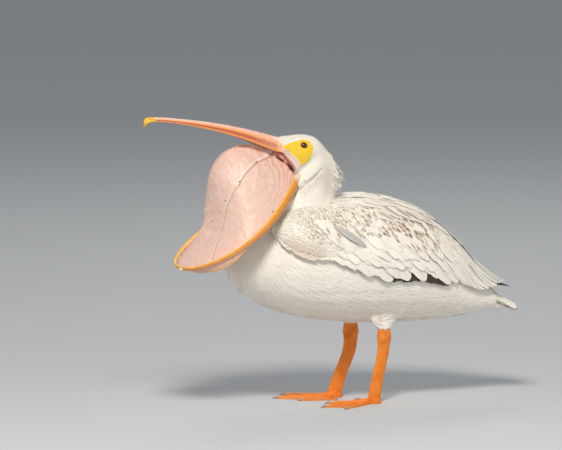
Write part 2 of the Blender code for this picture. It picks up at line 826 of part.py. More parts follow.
def vane_solid(name, lines, tip_pair):
    """A closed vane from rows of upper left, middle and right points and lower right and left points."""
    count = 5
    points = np.concatenate([*lines, tip_pair])
    faces = []
    for i in range(len(lines) - 1):
        a, b = i * count, (i + 1) * count
        for j in range(count):
            k = (j + 1) % count
            faces.append((a + j, a + k, b + k))
            faces.append((a + j, b + k, b + j))
    faces.append((4, 3, 2, 1, 0))
    last = (len(lines) - 1) * count
    over, under = len(points) - 2, len(points) - 1
    faces += [
        (last, last + 1, over),
        (last + 1, last + 2, over),
        (last + 2, last + 3, under, over),
        (last + 3, last + 4, under),
        (last + 4, last, over, under),
    ]
    return mesh_object(name, points, faces)


def body_vane(name, tip, heading, length, width, lifts, tilt, bend=0.0, stations=VANE_STATIONS):
    """A feather that lies along the torso's left side and ends at tip. lifts are its root's and tip's."""
    spots = []
    x, angle = tip
    steps = 6  # pieces of the way from the tip back to the root
    trail = [(x, angle, heading)]
    for k in range(steps):
        way = heading - bend * (k + 1) / steps
        x, angle = walk(x, angle, way + math.pi, length / steps)
        trail.append((x, angle, way))
    trail = np.array(trail[::-1])
    for share in stations:
        x, angle, way = (np.interp(share * steps, np.arange(steps + 1), trail[:, k]) for k in range(3))
        lift = lifts[0] + (lifts[1] - lifts[0]) * share
        half = width / 2 * feather_width(share)
        upper = walk(x, angle, way - math.pi / 2, half)
        lower = walk(x, angle, way + math.pi / 2, half)
        slant = tilt / 2 * min(1.0, share * 2 + 0.2) * feather_width(share)
        xs = np.array([upper[0], x, lower[0], lower[0], upper[0]])
        angles = np.array([upper[1], angle, lower[1], lower[1], upper[1]])
        ups = np.array([VANE - slant, VANE + CROWN, VANE + slant, slant, -slant])
        spots.append(body_point(xs, angles, lift + ups))
    x, angle, _ = trail[-1]
    ends = lifts[1] + np.array([VANE + CROWN * 0.4, CROWN * 0.2])
    pair = body_point(np.array([x, x]), np.array([angle, angle]), ends)
    return vane_solid(name, spots, pair)


def wing_core(name, grow=0.0):
    """The folded arm under its small feathers, a pad on the flank. Grown, it also reaches into the torso."""
    lanes = 7
    share = np.linspace(0, 1, lanes)
    rings = []
    first, last = WING_TOP_EDGE[0][0], WING_TOP_EDGE[-1][0]
    for x in first + (last - first) * np.linspace(0.02, 1, 14) ** 1.25:
        top, low = (np.radians(edge(x)[0]) for edge in (wing_top, wing_low))
        spread = grow / 0.10
        angles = top - spread + (low - top + 2 * spread) * share
        swell = np.sin(math.pi * (0.04 + 0.92 * share) ** 0.9) ** 0.55
        lifts = WING_LIFT + (wing_thick(x)[0] - WING_LIFT) * swell
        lifts[[0, -1]] = 2 * WING_LIFT
        xs = np.full(lanes, x + grow * (x == last))
        over = body_point(xs, angles, lifts + grow)
        under = body_point(xs, angles, np.full(lanes, -0.004 if grow else WING_LIFT))[::-1]
        rings.append(np.concatenate([over, under]))
    nose = body_point(first - 0.002 - grow, math.radians(46), 0.004)
    return loft(name, rings, nose)


def wing_feathers():
    """Every large feather of the left wing, tier by tier."""
    vanes = []

    def add(tier, *sizes, **more):
        vanes.append(body_vane(f"{tier}_{len(vanes)}", *sizes, **more))

    for i in range(5):  # primaries, folded under the rest
        share = i / 4
        tip = (0.215 + 0.200 * share, math.radians(102 - 88 * share**1.7))
        lifts = (0.0030, 0.0030 + 0.0092 * share**2)
        heading = math.radians(26 - 34 * share)
        add("primary", tip, heading, 0.215, 0.036, lifts, 0.0030, stations=LONG_STATIONS)
    for i in range(8):  # secondaries
        share = i / 7
        x = 0.012 + 0.285 * share
        tip = (x, math.radians(feather_edge(x)[0]))
        heading = math.radians(56 - 22 * share)
        add("secondary", tip, heading, 0.140, 0.044, (0.0042, 0.0058), 0.0050, bend=math.radians(8))
    for i in range(5):  # tertials, whose ends stand off the rump
        share = i / 4
        x = 0.318 + 0.082 * share
        tip = (x, math.radians(79 - 65 * share**0.9))
        heading = math.radians(26 - 24 * share)
        add("tertial", tip, heading, 0.170, 0.046, (0.0070, 0.0080 + 0.0215 * share**1.4), 0.0050)
    for i in range(7):  # greater coverts
        share = i / 6
        x = 0.010 + 0.275 * share
        heading = math.radians(56 - 16 * share)
        tip = walk(x, math.radians(feather_edge(x)[0]), heading + math.pi, 0.046)
        add("greater_covert", tip, heading, 0.085, 0.040, (0.0085, 0.0108), 0.0050)
    for i in range(7):  # median coverts
        share = i / 6
        x = 0.010 + 0.260 * share
        heading = math.radians(54 - 16 * share)
        tip = walk(x, math.radians(feather_edge(x)[0]), heading + math.pi, 0.084)
        add("median_covert", tip, heading, 0.060, 0.038, (0.0120, 0.0152), 0.0050)
    for i in range(5):  # scapulars along the back
        share = i / 4
        tip = (0.190 + 0.130 * share, math.radians(42 - 16 * share))
        heading = math.radians(26 - 10 * share)
        add("scapular", tip, heading, 0.100, 0.042, (0.0115, 0.0175 + 0.004 * share), 0.0050)
    slipped = (0.0387, math.radians(73.5))  # one covert that has slipped out of its row
    add("slipped", slipped, math.radians(30), 0.088, 0.020, (0.0255, 0.0275), 0.0020)
    return vanes


def mirrored(piece):
    """Turns a piece of the left side into the same piece of the right side."""
    for vertex in piece.data.vertices:
        vertex.co.y = -vertex.co.y
    piece.data.flip_normals()
    return piece


def far_half(name):
    """A block that fills the bird's right half, up to just short of its midline."""
    low, high, far, near = 0.1, 0.6, 0.3, -GAP / 2
    corners = ((near, low), (far, low), (far, high), (near, high))
    return loft(name, [np.array([(x, y, z) for y, z in corners]) for x in (-far, 2 * far)])


def make_wings():
    wing = wing_core("wing")
    boolean(wing, wing_feathers(), "UNION", "MANIFOLD")
    boolean(wing, [far_half("right_half"), torso_form("torso_cut", GAP)], "DIFFERENCE", "MANIFOLD")
    keep_largest(wing)
    other = bpy.data.objects.new("wing_right", wing.data.copy())
    bpy.context.scene.collection.objects.link(other)
    finish_node(wing, "wing_left", "wing_feather")
    finish_node(mirrored(other), "wing_right", "wing_feather")


def make_tail():
    """A fan of vanes, the middle pair uppermost, on a short stump."""
    along = np.array([math.cos(TAIL_SLOPE), 0, -math.sin(TAIL_SLOPE)])
    up = np.array([math.sin(TAIL_SLOPE), 0, math.cos(TAIL_SLOPE)])
    side = np.array([0.0, 1.0, 0.0])
    root = np.array([TAIL_ROOT[0], 0, TAIL_ROOT[1]])
    vanes = []
    for i in range(TAIL_FEATHERS):
        place = (i + 0.5) / TAIL_FEATHERS * 2 - 1
        swing = place * TAIL_SPREAD / 2
        way = along * math.cos(swing) + side * math.sin(swing)
        cross = side * math.cos(swing) - along * math.sin(swing)
        length = TAIL_LENGTH * (1 - 0.16 * place**2)
        start = root + side * place * 0.016 - up * 0.0062 * abs(place)
        outer = math.copysign(1, place)
        rows = []
        for share in (0.0, 0.72, 0.94):
            middle = start + way * length * share - up * 0.002 * share**2
            half = 0.0150 * feather_width(share)
            slant = -0.0009 * outer
            rows.append(
                [
                    middle - cross * half + up * (VANE - slant),
                    middle + up * (VANE + 0.0006),
                    middle + cross * half + up * (VANE + slant),
                    middle + cross * half + up * slant,
                    middle - cross * half - up * slant,
                ]
            )
        end = start + way * length - up * 0.002
        vanes.append(vane_solid(f"rectrix_{i}", rows, [end + up * VANE, end]))
    rings = []
    for share in np.linspace(0, 1, 5):
        turns = np.arange(14) * 2 * math.pi / 14
        centre = root + along * (-0.020 + 0.052 * share) - up * 0.0035
        wide, tall = 0.026 - 0.004 * share, 0.0085 * (1 - 0.55 * share**2)
        rings.append(centre + np.outer(np.cos(turns) * wide, side) + np.outer(np.sin(turns) * tall, up))
    stump = loft("tail", rings)
    boolean(stump, vanes, "UNION", "MANIFOLD")
    boolean(stump, [torso_form("torso_cut", GAP)], "DIFFERENCE", "MANIFOLD")
    finish_node(keep_largest(stump), "tail", "white_feather")


# Legs and feet


def leg_spot(leg, side, height):
    """The middle of a leg at one height, and the way it points."""
    x = float(smooth_line(leg["path"])(height)[0])
    way = math.pi - side * math.radians(leg["heading"])
    return np.array([x, side * LEG_APART, height]), np.array([math.cos(way), math.sin(way), 0])


def leg_ring(leg, side, height, long, wide, sides):
    """A level ellipse round one leg, long in the direction the leg points."""
    centre, ahead = leg_spot(leg, side, height)
    across = np.array([-ahead[1], ahead[0], 0])
    turns = np.arange(sides) * 2 * math.pi / sides
    return centre + np.outer(np.cos(turns) * long, ahead) + np.outer(np.sin(turns) * wide, across)


def shank_rings(leg, side, low, high, count):
    """Rings of one bare leg between two heights."""
    rings = []
    for height in np.linspace(low, high, count):
        knob = math.exp(-(((height - ANKLE) / 0.013) ** 2))
        foot = math.exp(-(((height - 0.020) / 0.020) ** 2))
        long = LEG_LONG + 0.0026 * knob + 0.0012 * foot
        wide = LEG_WIDE + 0.0026 * knob + 0.0022 * foot
        rings.append(leg_ring(leg, side, height, long, wide, 10))
    return rings


def foot_reach(angle):
    """How far the webbed foot reaches at an angle from its heading, in degrees. Outwards is positive."""
    toes = sorted(TOES)
    if angle <= toes[0][0] - 6 or angle >= toes[-1][0] + 6:
        return HEEL
    for (a, long_a), (b, long_b) in zip(toes, toes[1:]):
        if a <= angle <= b:
            share = (angle - a) / (b - a)
            scallop = 0.16 * math.sin(math.pi * share) * (long_a + long_b) / 2
            return long_a + (long_b - long_a) * share - scallop
    nearest = toes[0] if angle < toes[0][0] else toes[-1]
    return nearest[1] * 0.93


def make_foot(word, side, leg):
    """A flat webbed foot with four toes, all joined by the web, and the stub that carries the leg."""
    angles = set()
    for toe, _ in TOES:
        angles |= {toe - 4, toe, toe + 4}
    toes = sorted(t for t, _ in TOES)
    for a, b in zip(toes, toes[1:]):
        angles |= {a + (b - a) * share for share in (0.35, 0.65)}
    angles |= {toes[0] - 12, toes[-1] + 12}
    angles |= set(np.linspace(toes[-1] + 40, toes[0] + 360 - 40, 5))
    angles = sorted(angles)
    centre = leg_spot(leg, side, 0.022)[0] * (1, 1, 0)
    heading = math.pi - side * math.radians(leg["heading"])
    shares = (0.12, 0.30, 0.56, 0.84, 1.0)
    rings = []
    for share in shares:
        ring = []
        for angle in angles:
            reach = foot_reach(angle if angle <= 180 else angle - 360) * share
            rise = WEB
            for toe, length in TOES:
                off = math.radians(min(abs(angle - toe), 360 - abs(angle - toe))) * reach
                thick = TOE_RADIUS * (1.25 - 0.55 * reach / length) if reach <= length * 1.001 else 0
                rise = max(rise, WEB + thick * math.exp(-((off / (TOE_RADIUS * 0.85)) ** 2)))
            rise += 0.013 * math.exp(-((reach / 0.020) ** 2))
            rise = WEB if share == 1.0 and rise < 0.004 else rise * (0.72 if share == 1.0 else 1.0)
            way = heading - side * math.radians(angle)
            ring.append(centre + np.array([math.cos(way) * reach, math.sin(way) * reach, rise]))
        rings.append(np.array(ring))
    sole = rings[-1] * (1, 1, 0)
    foot = loft(f"foot_{word}", [*rings, sole], centre + (0, 0, 0.021), centre)
    claws = []
    for toe, length in TOES:
        way = heading - side * math.radians(toe)
        along = np.array([math.cos(way), math.sin(way), 0])
        across = np.array([-along[1], along[0], 0])
        turns = np.arange(6) * 2 * math.pi / 6
        rows = [
            centre
            + along * (length - 0.006 + reach)
            + np.outer(np.cos(turns) * radius, across)
            + np.outer(np.sin(turns) * radius + height, (0, 0, 1))
            for reach, radius, height in ((0, 0.0024, 0.0042), (0.009, 0.0017, 0.0030))
        ]
        claws.append(loft(f"claw_{toe}", rows, None, centre + along * (length + 0.009) + (0, 0, 0.0009)))
    stub = loft(f"stub_{word}", shank_rings(leg, side, 0.006, LEG_CUT, 4))
    boolean(foot, [stub, *claws], "UNION")
    finish_node(keep_largest(foot), f"foot_{word}", "orange_skin")


def make_leg(word, side, leg):
    """The bare shank up to the feathers, and the feathered thigh above it."""
    shank = loft(f"shank_{word}", shank_rings(leg, side, LEG_CUT + GAP, THIGH_CUT, 10))
    finish_node(shank, f"shank_{word}", "orange_skin")
    rings = []
    for share in np.linspace(0, 1, 8):
        height = THIGH_CUT + GAP + 0.085 * share
        ring = leg_ring(leg, side, height, 0.0172 + 0.040 * share**0.62, 0.0125 + 0.016 * share, 14)
        rings.append(ring - np.array([0, side * 0.022 * share, 0]))
    thigh = loft(f"thigh_{word}", rings)
    boolean(thigh, [torso_form("torso_cut", GAP)], "DIFFERENCE")
    finish_node(keep_largest(thigh), f"thigh_{word}", "white_feather")


def centre_on_floor():
    """Moves the whole bird so that the middle of its bounding box stands over the origin."""
    pieces = [piece for piece in bpy.data.objects if piece.type == "MESH"]
    corners = np.array([vertex.co for piece in pieces for vertex in piece.data.vertices])
    middle = (corners.min(axis=0) + corners.max(axis=0)) / 2
    for piece in pieces:
        piece.location = (-middle[0], -middle[1], 0)


def main():
    for old in list(bpy.data.objects):
        bpy.data.objects.remove(old)
    make_torso()
    make_head()
    make_upper_bill()
    make_lower_bill()
    make_pouch()
    make_neck()
    make_throat()
    make_wings()
    make_tail()
    for word, side in (("left", -1), ("right", 1)):
        make_leg(word, side, LEGS[word])
        make_foot(word, side, LEGS[word])
    centre_on_floor()


main()
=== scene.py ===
"""A white pelican standing with its bill wide open and its pouch pushed up over its neck."""

import math

import bmesh
import bpy
import numpy as np
from mathutils import Matrix, Vector, noise
from mathutils.bvhtree import BVHTree


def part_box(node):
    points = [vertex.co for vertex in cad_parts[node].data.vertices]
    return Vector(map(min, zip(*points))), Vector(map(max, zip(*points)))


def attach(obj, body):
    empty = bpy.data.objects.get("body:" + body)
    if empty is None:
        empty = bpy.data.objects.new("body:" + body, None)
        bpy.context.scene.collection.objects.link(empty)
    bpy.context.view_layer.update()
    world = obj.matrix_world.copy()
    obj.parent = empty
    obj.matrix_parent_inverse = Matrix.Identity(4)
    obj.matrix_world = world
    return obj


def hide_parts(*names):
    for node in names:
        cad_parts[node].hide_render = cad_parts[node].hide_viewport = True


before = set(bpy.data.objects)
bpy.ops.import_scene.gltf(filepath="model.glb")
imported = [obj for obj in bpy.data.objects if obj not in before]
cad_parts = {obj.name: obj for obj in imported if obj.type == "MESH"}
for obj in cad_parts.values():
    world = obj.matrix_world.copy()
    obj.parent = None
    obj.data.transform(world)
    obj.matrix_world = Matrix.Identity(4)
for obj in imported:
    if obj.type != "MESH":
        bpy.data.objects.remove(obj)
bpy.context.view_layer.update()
bpy.ops.object.select_all(action="DESELECT")


# The camera: a long lens far off, at the bird's left, a little ahead of square and a little above.
# The studio: one wide pale floor, a large warm key light, a cool fill, a rim light and a weak front light.

TORSO_LOW, TORSO_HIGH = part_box("torso")
NAPE = Vector((TORSO_LOW.x + 0.2651, (TORSO_LOW.y + TORSO_HIGH.y) / 2, 0))  # on the floor, under the nape
METRES_PER_PIXEL = 0.0023
PICTURE = (562, 450)
NAPE_PIXEL = (333, 401)
CAMERA_TURN = math.radians(-18)
CAMERA_RISE = math.radians(7)
CAMERA_AWAY = 30.0

picture_right = Vector((math.cos(CAMERA_TURN), math.sin(CAMERA_TURN), 0))
to_camera = Vector(
    (
        math.sin(CAMERA_TURN) * math.cos(CAMERA_RISE),
        -math.cos(CAMERA_TURN) * math.cos(CAMERA_RISE),
        math.sin(CAMERA_RISE),
    )
)
picture_up = to_camera.cross(picture_right)
looked_at = (
    NAPE
    + picture_right * (PICTURE[0] / 2 - NAPE_PIXEL[0]) * METRES_PER_PIXEL
    + picture_up * (NAPE_PIXEL[1] - PICTURE[1] / 2) * METRES_PER_PIXEL
)
bpy.ops.object.camera_add(location=looked_at + to_camera * CAMERA_AWAY)
camera = bpy.context.object
camera.name = "camera"
camera.rotation_euler = to_camera.to_track_quat("Z", "Y").to_euler()
camera.data.sensor_width = 36
camera.data.lens = 36 * CAMERA_AWAY / (PICTURE[0] * METRES_PER_PIXEL)
camera.data.clip_start = 5
camera.data.clip_end = 80
bpy.context.scene.camera = camera

for name, spot, size, watts, tint in (
    ("key", (-1.2, -3.1, 3.8), 1.1, 172, (1.0, 0.955, 0.88)),
    ("fill", (2.4, -3.4, 0.9), 3.0, 38, (0.92, 0.95, 1.0)),
    ("rim", (1.4, 3.2, 3.0), 1.6, 26, (1.0, 0.98, 0.94)),
    ("front", (-3.6, 0.6, 1.2), 2.0, 19, (0.95, 0.97, 1.0)),
):
    bpy.ops.object.light_add(type="AREA", location=spot)
    light = bpy.context.object
    light.name = f"light_{name}"
    light.data.size = size
    light.data.energy = watts
    light.data.color = tint
    light.rotation_euler = (Vector(spot) - Vector((0, 0, 0.35))).to_track_quat("Z", "Y").to_euler()

world = bpy.data.worlds.new("studio")
bpy.context.scene.world = world
world.use_nodes = True
world.node_tree.nodes["Background"].inputs["Color"].default_value = (0.9, 0.93, 0.97, 1)
world.node_tree.nodes["Background"].inputs["Strength"].default_value = 0.3
# Colours are shown as they are, without a film-like curve that would wash out the yellow and the orange
bpy.context.scene.view_settings.view_transform = "Standard"


def new_material(name, colour, roughness, **more):
    """A Principled material, its node tree and its shader. Further sockets are given by name."""
    made = bpy.data.materials.new(name)
    made.use_nodes = True
    shader = made.node_tree.nodes["Principled BSDF"]
    shader.inputs["Base Color"].default_value = (*colour, 1)
    shader.inputs["Roughness"].default_value = roughness
    for socket, value in more.items():
        shader.inputs[socket.replace("_", " ")].default_value = value
    return made, made.node_tree, shader


bpy.ops.mesh.primitive_plane_add(size=1, location=(0, 0, 0))
floor = bpy.context.object
floor.name = "floor"
floor.scale = (24, 24, 1)
floor_finish, _, _ = new_material("pale_floor", (0.6, 0.62, 0.64), 0.9)
floor.data.materials.append(floor_finish)


# The body's own measures: a smooth hull given by a few sections, on which each feather has its place.
# A place is x and the angle down from the middle of the back; a feather's lift is its height off the hull.

BODY = (
    (-0.2636, 0.334, 0.324, 0.006), (-0.256, 0.366, 0.294, 0.036), (-0.235, 0.402, 0.266, 0.066),
    (-0.185, 0.436, 0.233, 0.094), (-0.11, 0.457, 0.203, 0.114), (-0.03, 0.467, 0.188, 0.121),
    (0.06, 0.47, 0.18, 0.12), (0.12, 0.462, 0.177, 0.114), (0.17, 0.446, 0.176, 0.106),
    (0.23, 0.411, 0.177, 0.091), (0.28, 0.366, 0.181, 0.074), (0.33, 0.302, 0.188, 0.057),
    (0.38, 0.254, 0.197, 0.047), (0.42, 0.23, 0.202, 0.046), (0.47, 0.208, 0.19, 0.05),
)
BELLY_FULLNESS = 0.1


def smooth_line(rows):
    """A smooth function through the rows' first column that never overshoots their other columns."""
    table = np.array(rows, float)
    xs, ys = table[:, 0], table[:, 1:]
    slopes = np.diff(ys, axis=0) / np.diff(xs)[:, None]
    tangents = np.zeros_like(ys)
    tangents[0], tangents[-1] = slopes[0], slopes[-1]
    same_way = slopes[1:] * slopes[:-1] > 0
    safe = np.where(same_way, slopes[1:] + slopes[:-1], 1.0)
    tangents[1:-1] = np.where(same_way, 2 * slopes[1:] * slopes[:-1] / safe, 0.0)

    def at(x):
        x = np.clip(np.asarray(x, float), xs[0], xs[-1])
        i = np.clip(np.searchsorted(xs, x, side="right") - 1, 0, len(xs) - 2)
        h = (xs[i + 1] - xs[i])[..., None]
        t = ((x - xs[i])[..., None]) / h
        return (
            ys[i] * (1 + 2 * t) * (1 - t) ** 2
            + tangents[i] * h * t * (1 - t) ** 2
            + ys[i + 1] * t**2 * (3 - 2 * t)
            + tangents[i + 1] * h * t**2 * (t - 1)
        )

    return at


def ease(t):
    t = np.clip(t, 0, 1)
    return t * t * (3 - 2 * t)


def bell(t):
    return np.exp(-(t**2))


def unit(v):
    return v / np.maximum(np.linalg.norm(v, axis=-1, keepdims=True), 1e-12)


body_rows = smooth_line(BODY)


def body_surface(x, angle):
    rows = body_rows(x)
    top, bottom, half = rows[..., 0], rows[..., 1], rows[..., 2]
    side = half * np.sin(angle) * (1 - BELLY_FULLNESS * np.cos(angle))
    height = (top + bottom) / 2 + (top - bottom) / 2 * np.cos(angle)
    return np.stack(np.broadcast_arrays(x, -side, height), -1)


def body_slopes(x, angle):
    step, turn = 0.004, 0.02
    along = (body_surface(x + step, angle) - body_surface(x - step, angle)) / (2 * step)
    down = (body_surface(x, angle + turn) - body_surface(x, angle - turn)) / (2 * turn)
    return along, down


def body_point(x, angle, lift):
    x, angle = np.broadcast_arrays(np.asarray(x, float), np.asarray(angle, float))
    along, down = body_slopes(x, angle)
    return body_surface(x, angle) + unit(np.cross(down, along)) * np.asarray(lift)[..., None]


def walk(x, angle, heading, distance):
    """The place a distance away over the hull. Heading 0 is tailwards and a right angle is down."""
    along, down = body_slopes(x, angle)
    heading = np.asarray(heading, float)[..., None]
    step = (np.cos(heading) * unit(along) + np.sin(heading) * unit(down)) * np.asarray(distance)[..., None]
    aa, dd, ad = (along**2).sum(-1), (down**2).sum(-1), (along * down).sum(-1)
    ra, rd = (along * step).sum(-1), (down * step).sum(-1)
    det = aa * dd - ad * ad
    return x + (ra * dd - rd * ad) / det, angle + (rd * aa - ra * ad) / det


def on_side(points, side):
    """Points of the left side in the bird's own frame, moved to one side of the bird where it stands."""
    return points * (1, side, 1) + np.array(NAPE)


# The folded wing: upper arm, forearm and hand lie along the flank as one pad of muscle and small feathers.
# Its outline is given by where its upper and lower edges run over the hull, and by how thick it is.

WING_TOP_EDGE = (
    (-0.168, 43), (-0.16, 32), (-0.146, 26), (-0.11, 22), (-0.05, 18), (0.02, 14), (0.08, 10), (0.14, 8),
    (0.225, 7),
)
WING_LOW_EDGE = (
    (-0.168, 49), (-0.16, 60), (-0.143, 69), (-0.118, 76), (-0.081, 81), (-0.04, 82), (0.01, 80), (0.05, 74),
    (0.1, 66), (0.15, 54), (0.2, 38), (0.225, 26),
)
WING_THICK = (
    (-0.168, 0.007), (-0.16, 0.017), (-0.143, 0.025), (-0.09, 0.03), (-0.03, 0.026), (0.05, 0.019),
    (0.12, 0.015), (0.18, 0.012), (0.225, 0.007),
)
wing_top, wing_low, wing_thick = (smooth_line(rows) for rows in (WING_TOP_EDGE, WING_LOW_EDGE, WING_THICK))


def pad_share(x, angle):
    """How far down the wing's pad a place is: 0 at its upper edge, 1 at its lower edge."""
    top, low = np.radians(wing_top(x)[..., 0]), np.radians(wing_low(x)[..., 0])
    return (angle - top) / (low - top)


def pad_swell(share):
    return np.sin(math.pi * np.clip(0.04 + 0.92 * share, 0, 1) ** 0.9) ** 0.55


def pad_lift(x, angle):
    """How far the wing's pad stands off the hull, nothing outside its outline."""
    share = pad_share(x, angle)
    inside = (x > -0.17) & (x < 0.228) & (share > -0.06) & (share < 1.06)
    return np.where(inside, wing_thick(x)[..., 0] * pad_swell(share), 0.0)


def over_pad(x, angle):
    """The pad's level for the feathers on it, which keep it a little past the lower edge and so overhang it."""
    share = pad_share(x, angle)
    fade = ease((share + 0.16) / 0.16) * (1 - ease((share - 1.1) / 0.12)) * ease((x + 0.178) / 0.01)
    return wing_thick(np.maximum(x, -0.166))[..., 0] * pad_swell(np.clip(share, 0, 1)) * fade * (x < 0.228)


def mesh_from_arrays(name, points, faces):
    """One mesh object from an array of points and equal-sized faces."""
    mesh = bpy.data.meshes.new(name)
    count, size = faces.shape
    mesh.vertices.add(len(points))
    mesh.vertices.foreach_set("co", np.ascontiguousarray(points, np.float32).ravel())
    mesh.loops.add(count * size)
    mesh.loops.foreach_set("vertex_index", faces.astype(np.int32).ravel())
    mesh.polygons.add(count)
    mesh.polygons.foreach_set("loop_start", np.arange(0, count * size, size, dtype=np.int32))
    mesh.update(calc_edges=True)
    made = bpy.data.objects.new(name, mesh)
    bpy.context.scene.collection.objects.link(made)
    return made


def faces_outwards(piece):
    shape = bmesh.new()
    shape.from_mesh(piece.data)
    bmesh.ops.recalc_face_normals(shape, faces=shape.faces)
    shape.to_mesh(piece.data)
    shape.free()


def closed_net(name, over, under):
    """One closed piece from two nets of points, one over the other, walled along their border."""
    lengths, lanes = over.shape[:2]
    index = np.arange(lengths * lanes).reshape(lengths, lanes)
    quads = np.stack([index[:-1, :-1], index[:-1, 1:], index[1:, 1:], index[1:, :-1]], -1).reshape(-1, 4)
    below = quads[:, ::-1] + lengths * lanes
    loop = np.concatenate([index[0, :-1], index[:-1, -1], index[-1, :0:-1], index[:0:-1, 0]])
    following = np.roll(loop, -1)
    walls = np.stack([following, loop, loop + lengths * lanes, following + lengths * lanes], -1)
    points = np.concatenate([over.reshape(-1, 3), under.reshape(-1, 3)])
    made = mesh_from_arrays(name, points, np.concatenate([quads, below, walls]))
    faces_outwards(made)
    return made


def wing_pad(side):
    """A closed pad from a net over the hull and its own underside, a little inside the hull."""
    lengths, lanes = 60, 28
    xs = np.linspace(-0.169, 0.226, lengths)[:, None]
    share = np.linspace(-0.02, 1.02, lanes)[None, :]
    top, low = np.radians(wing_top(xs[:, 0])[:, :1]), np.radians(wing_low(xs[:, 0])[:, :1])
    angles = top + (low - top) * share
    xs = np.broadcast_to(xs, angles.shape)
    over = body_point(xs, angles, pad_lift(xs, angles) - 0.001)
    under = body_point(xs, angles, np.full(angles.shape, -0.012))
    return closed_net(f"pad_{side}", on_side(over, side), on_side(under, side))


# The head's own measures: forward from the nape, towards the bird's left, and height. It is turned a little left.

HEAD_TURN = math.radians(12)
EYE = (0.094, 0.025, 0.5995)
EYE_RADIUS = 0.009
LIDS = (0.0954, 0.6008, 1.16, 0.92)  # forward and height of the opening's middle, and how long and high it is
# The bare yellow skin round the eye, and where the gape's rim runs, as forward and height
YELLOW_PATCH = (
    (0.15, 0.6015), (0.1267, 0.608), (0.0956, 0.6128), (0.08, 0.61), (0.073, 0.5958), (0.076, 0.5808),
    (0.084, 0.5657), (0.0994, 0.5558), (0.1073, 0.5595), (0.119, 0.5755), (0.1344, 0.5896),
)
GAPE_RIM = (
    (0.5205, 0.1175, 0.003), (0.5421, 0.1121, 0.005), (0.5539, 0.1175, 0.01), (0.572, 0.1307, 0.014),
    (0.5925, 0.1464, 0.01), (0.601, 0.149, 0.001),
)  # height, forward and how wide the bare strip behind the rim is


def head_point(forward, side, height):
    c, s = math.cos(HEAD_TURN), math.sin(HEAD_TURN)
    return np.stack(np.broadcast_arrays(-forward * c + side * s, -forward * s - side * c, height), -1)


def head_measures(points):
    c, s = math.cos(HEAD_TURN), math.sin(HEAD_TURN)
    x, y = points[..., 0], points[..., 1]
    return -(x * c + y * s), x * s - y * c, points[..., 2]


def inside_polygon(u, v, polygon):
    """How far points lie inside a polygon, negative outside."""
    corners = np.array(polygon)
    nexts = np.roll(corners, -1, axis=0)
    p = np.stack([u, v], -1)[..., None, :]
    edge = nexts - corners
    share = np.clip(((p - corners) * edge).sum(-1) / (edge**2).sum(-1), 0, 1)
    near = np.linalg.norm(p - corners - share[..., None] * edge, axis=-1).min(-1)
    spans = (corners[:, 1] > p[..., 1]) != (nexts[:, 1] > p[..., 1])
    rise = np.where(np.abs(edge[:, 1]) < 1e-12, 1e-12, edge[:, 1])
    crossed = spans & (p[..., 0] < corners[:, 0] + (p[..., 1] - corners[:, 1]) / rise * edge[:, 0])
    return near * np.where(crossed.sum(-1) % 2 == 1, 1, -1)


rim_rows = smooth_line(GAPE_RIM)
CHEEK_CREASE = ((0.132, 0.4895), (0.12, 0.5), (0.098, 0.5166), (0.077, 0.5291), (0.063, 0.5407), (0.052, 0.5475))


def cheek_crease(forward, height):
    """The deep fold where the cheek rests on the neck, and the swelling above it, each up to 1."""
    line = np.array(CHEEK_CREASE)
    p = np.stack([forward, height], -1)[..., None, :]
    span = line[1:] - line[:-1]
    share = np.clip(((p - line[:-1]) * span).sum(-1) / (span**2).sum(-1), 0, 1)
    off = p - line[:-1] - share[..., None] * span
    nearest = np.linalg.norm(off, axis=-1).argmin(-1)
    off = np.take_along_axis(off, nearest[..., None, None], -2)[..., 0, :]
    away = np.linalg.norm(off, axis=-1) * np.where(off[..., 1] > 0, 1, -1)
    fade = ease((forward - 0.045) / 0.022)
    groove = np.where(away > 0, bell(away / 0.0022), bell(away / 0.0055))
    return groove * fade, bell((away - 0.0075) / 0.0045) * fade


SLITS = (((0.1545, 0.5745), (0.142, 0.5652), 0.0028), ((0.1315, 0.559), (0.118, 0.5405), 0.0052))


def slit_depth(forward, height):
    """Painted shade for two slits where the gape's flesh folds: how deep, up to 1, a place lies in them."""
    deep = 0 * forward
    for (x0, z0), (x1, z1), wide in SLITS:
        share = (forward - x0) * (x1 - x0) + (height - z0) * (z1 - z0)
        share = np.clip(share / ((x1 - x0) ** 2 + (z1 - z0) ** 2), 0, 1)
        off = np.hypot(forward - x0 - share * (x1 - x0), height - z0 - share * (z1 - z0))
        deep = np.maximum(deep, np.exp(-((off / (wide * (0.6 + 0.4 * np.sin(math.pi * share)))) ** 4)))
    return deep


def gape_depth(forward, height):
    """How far a point lies in front of the gape's rim, and the same for the bare strip behind the rim."""
    rows = rim_rows(height)
    return forward - rows[..., 0], forward - rows[..., 0] + rows[..., 1]


# The skin: one closed surface under all the feathers, from forehead to tail and down to the bare shanks.
# Copies of the fleshy solids and the wings' pads are melted into one, smoothed, and drawn in by the coat.

FLESH = ("torso", "neck", "head", "thigh_left", "thigh_right")
SKIN_GRAIN = 0.0032
COAT_DEPTH = 0.0028
NAPE_ROW = np.array(NAPE)

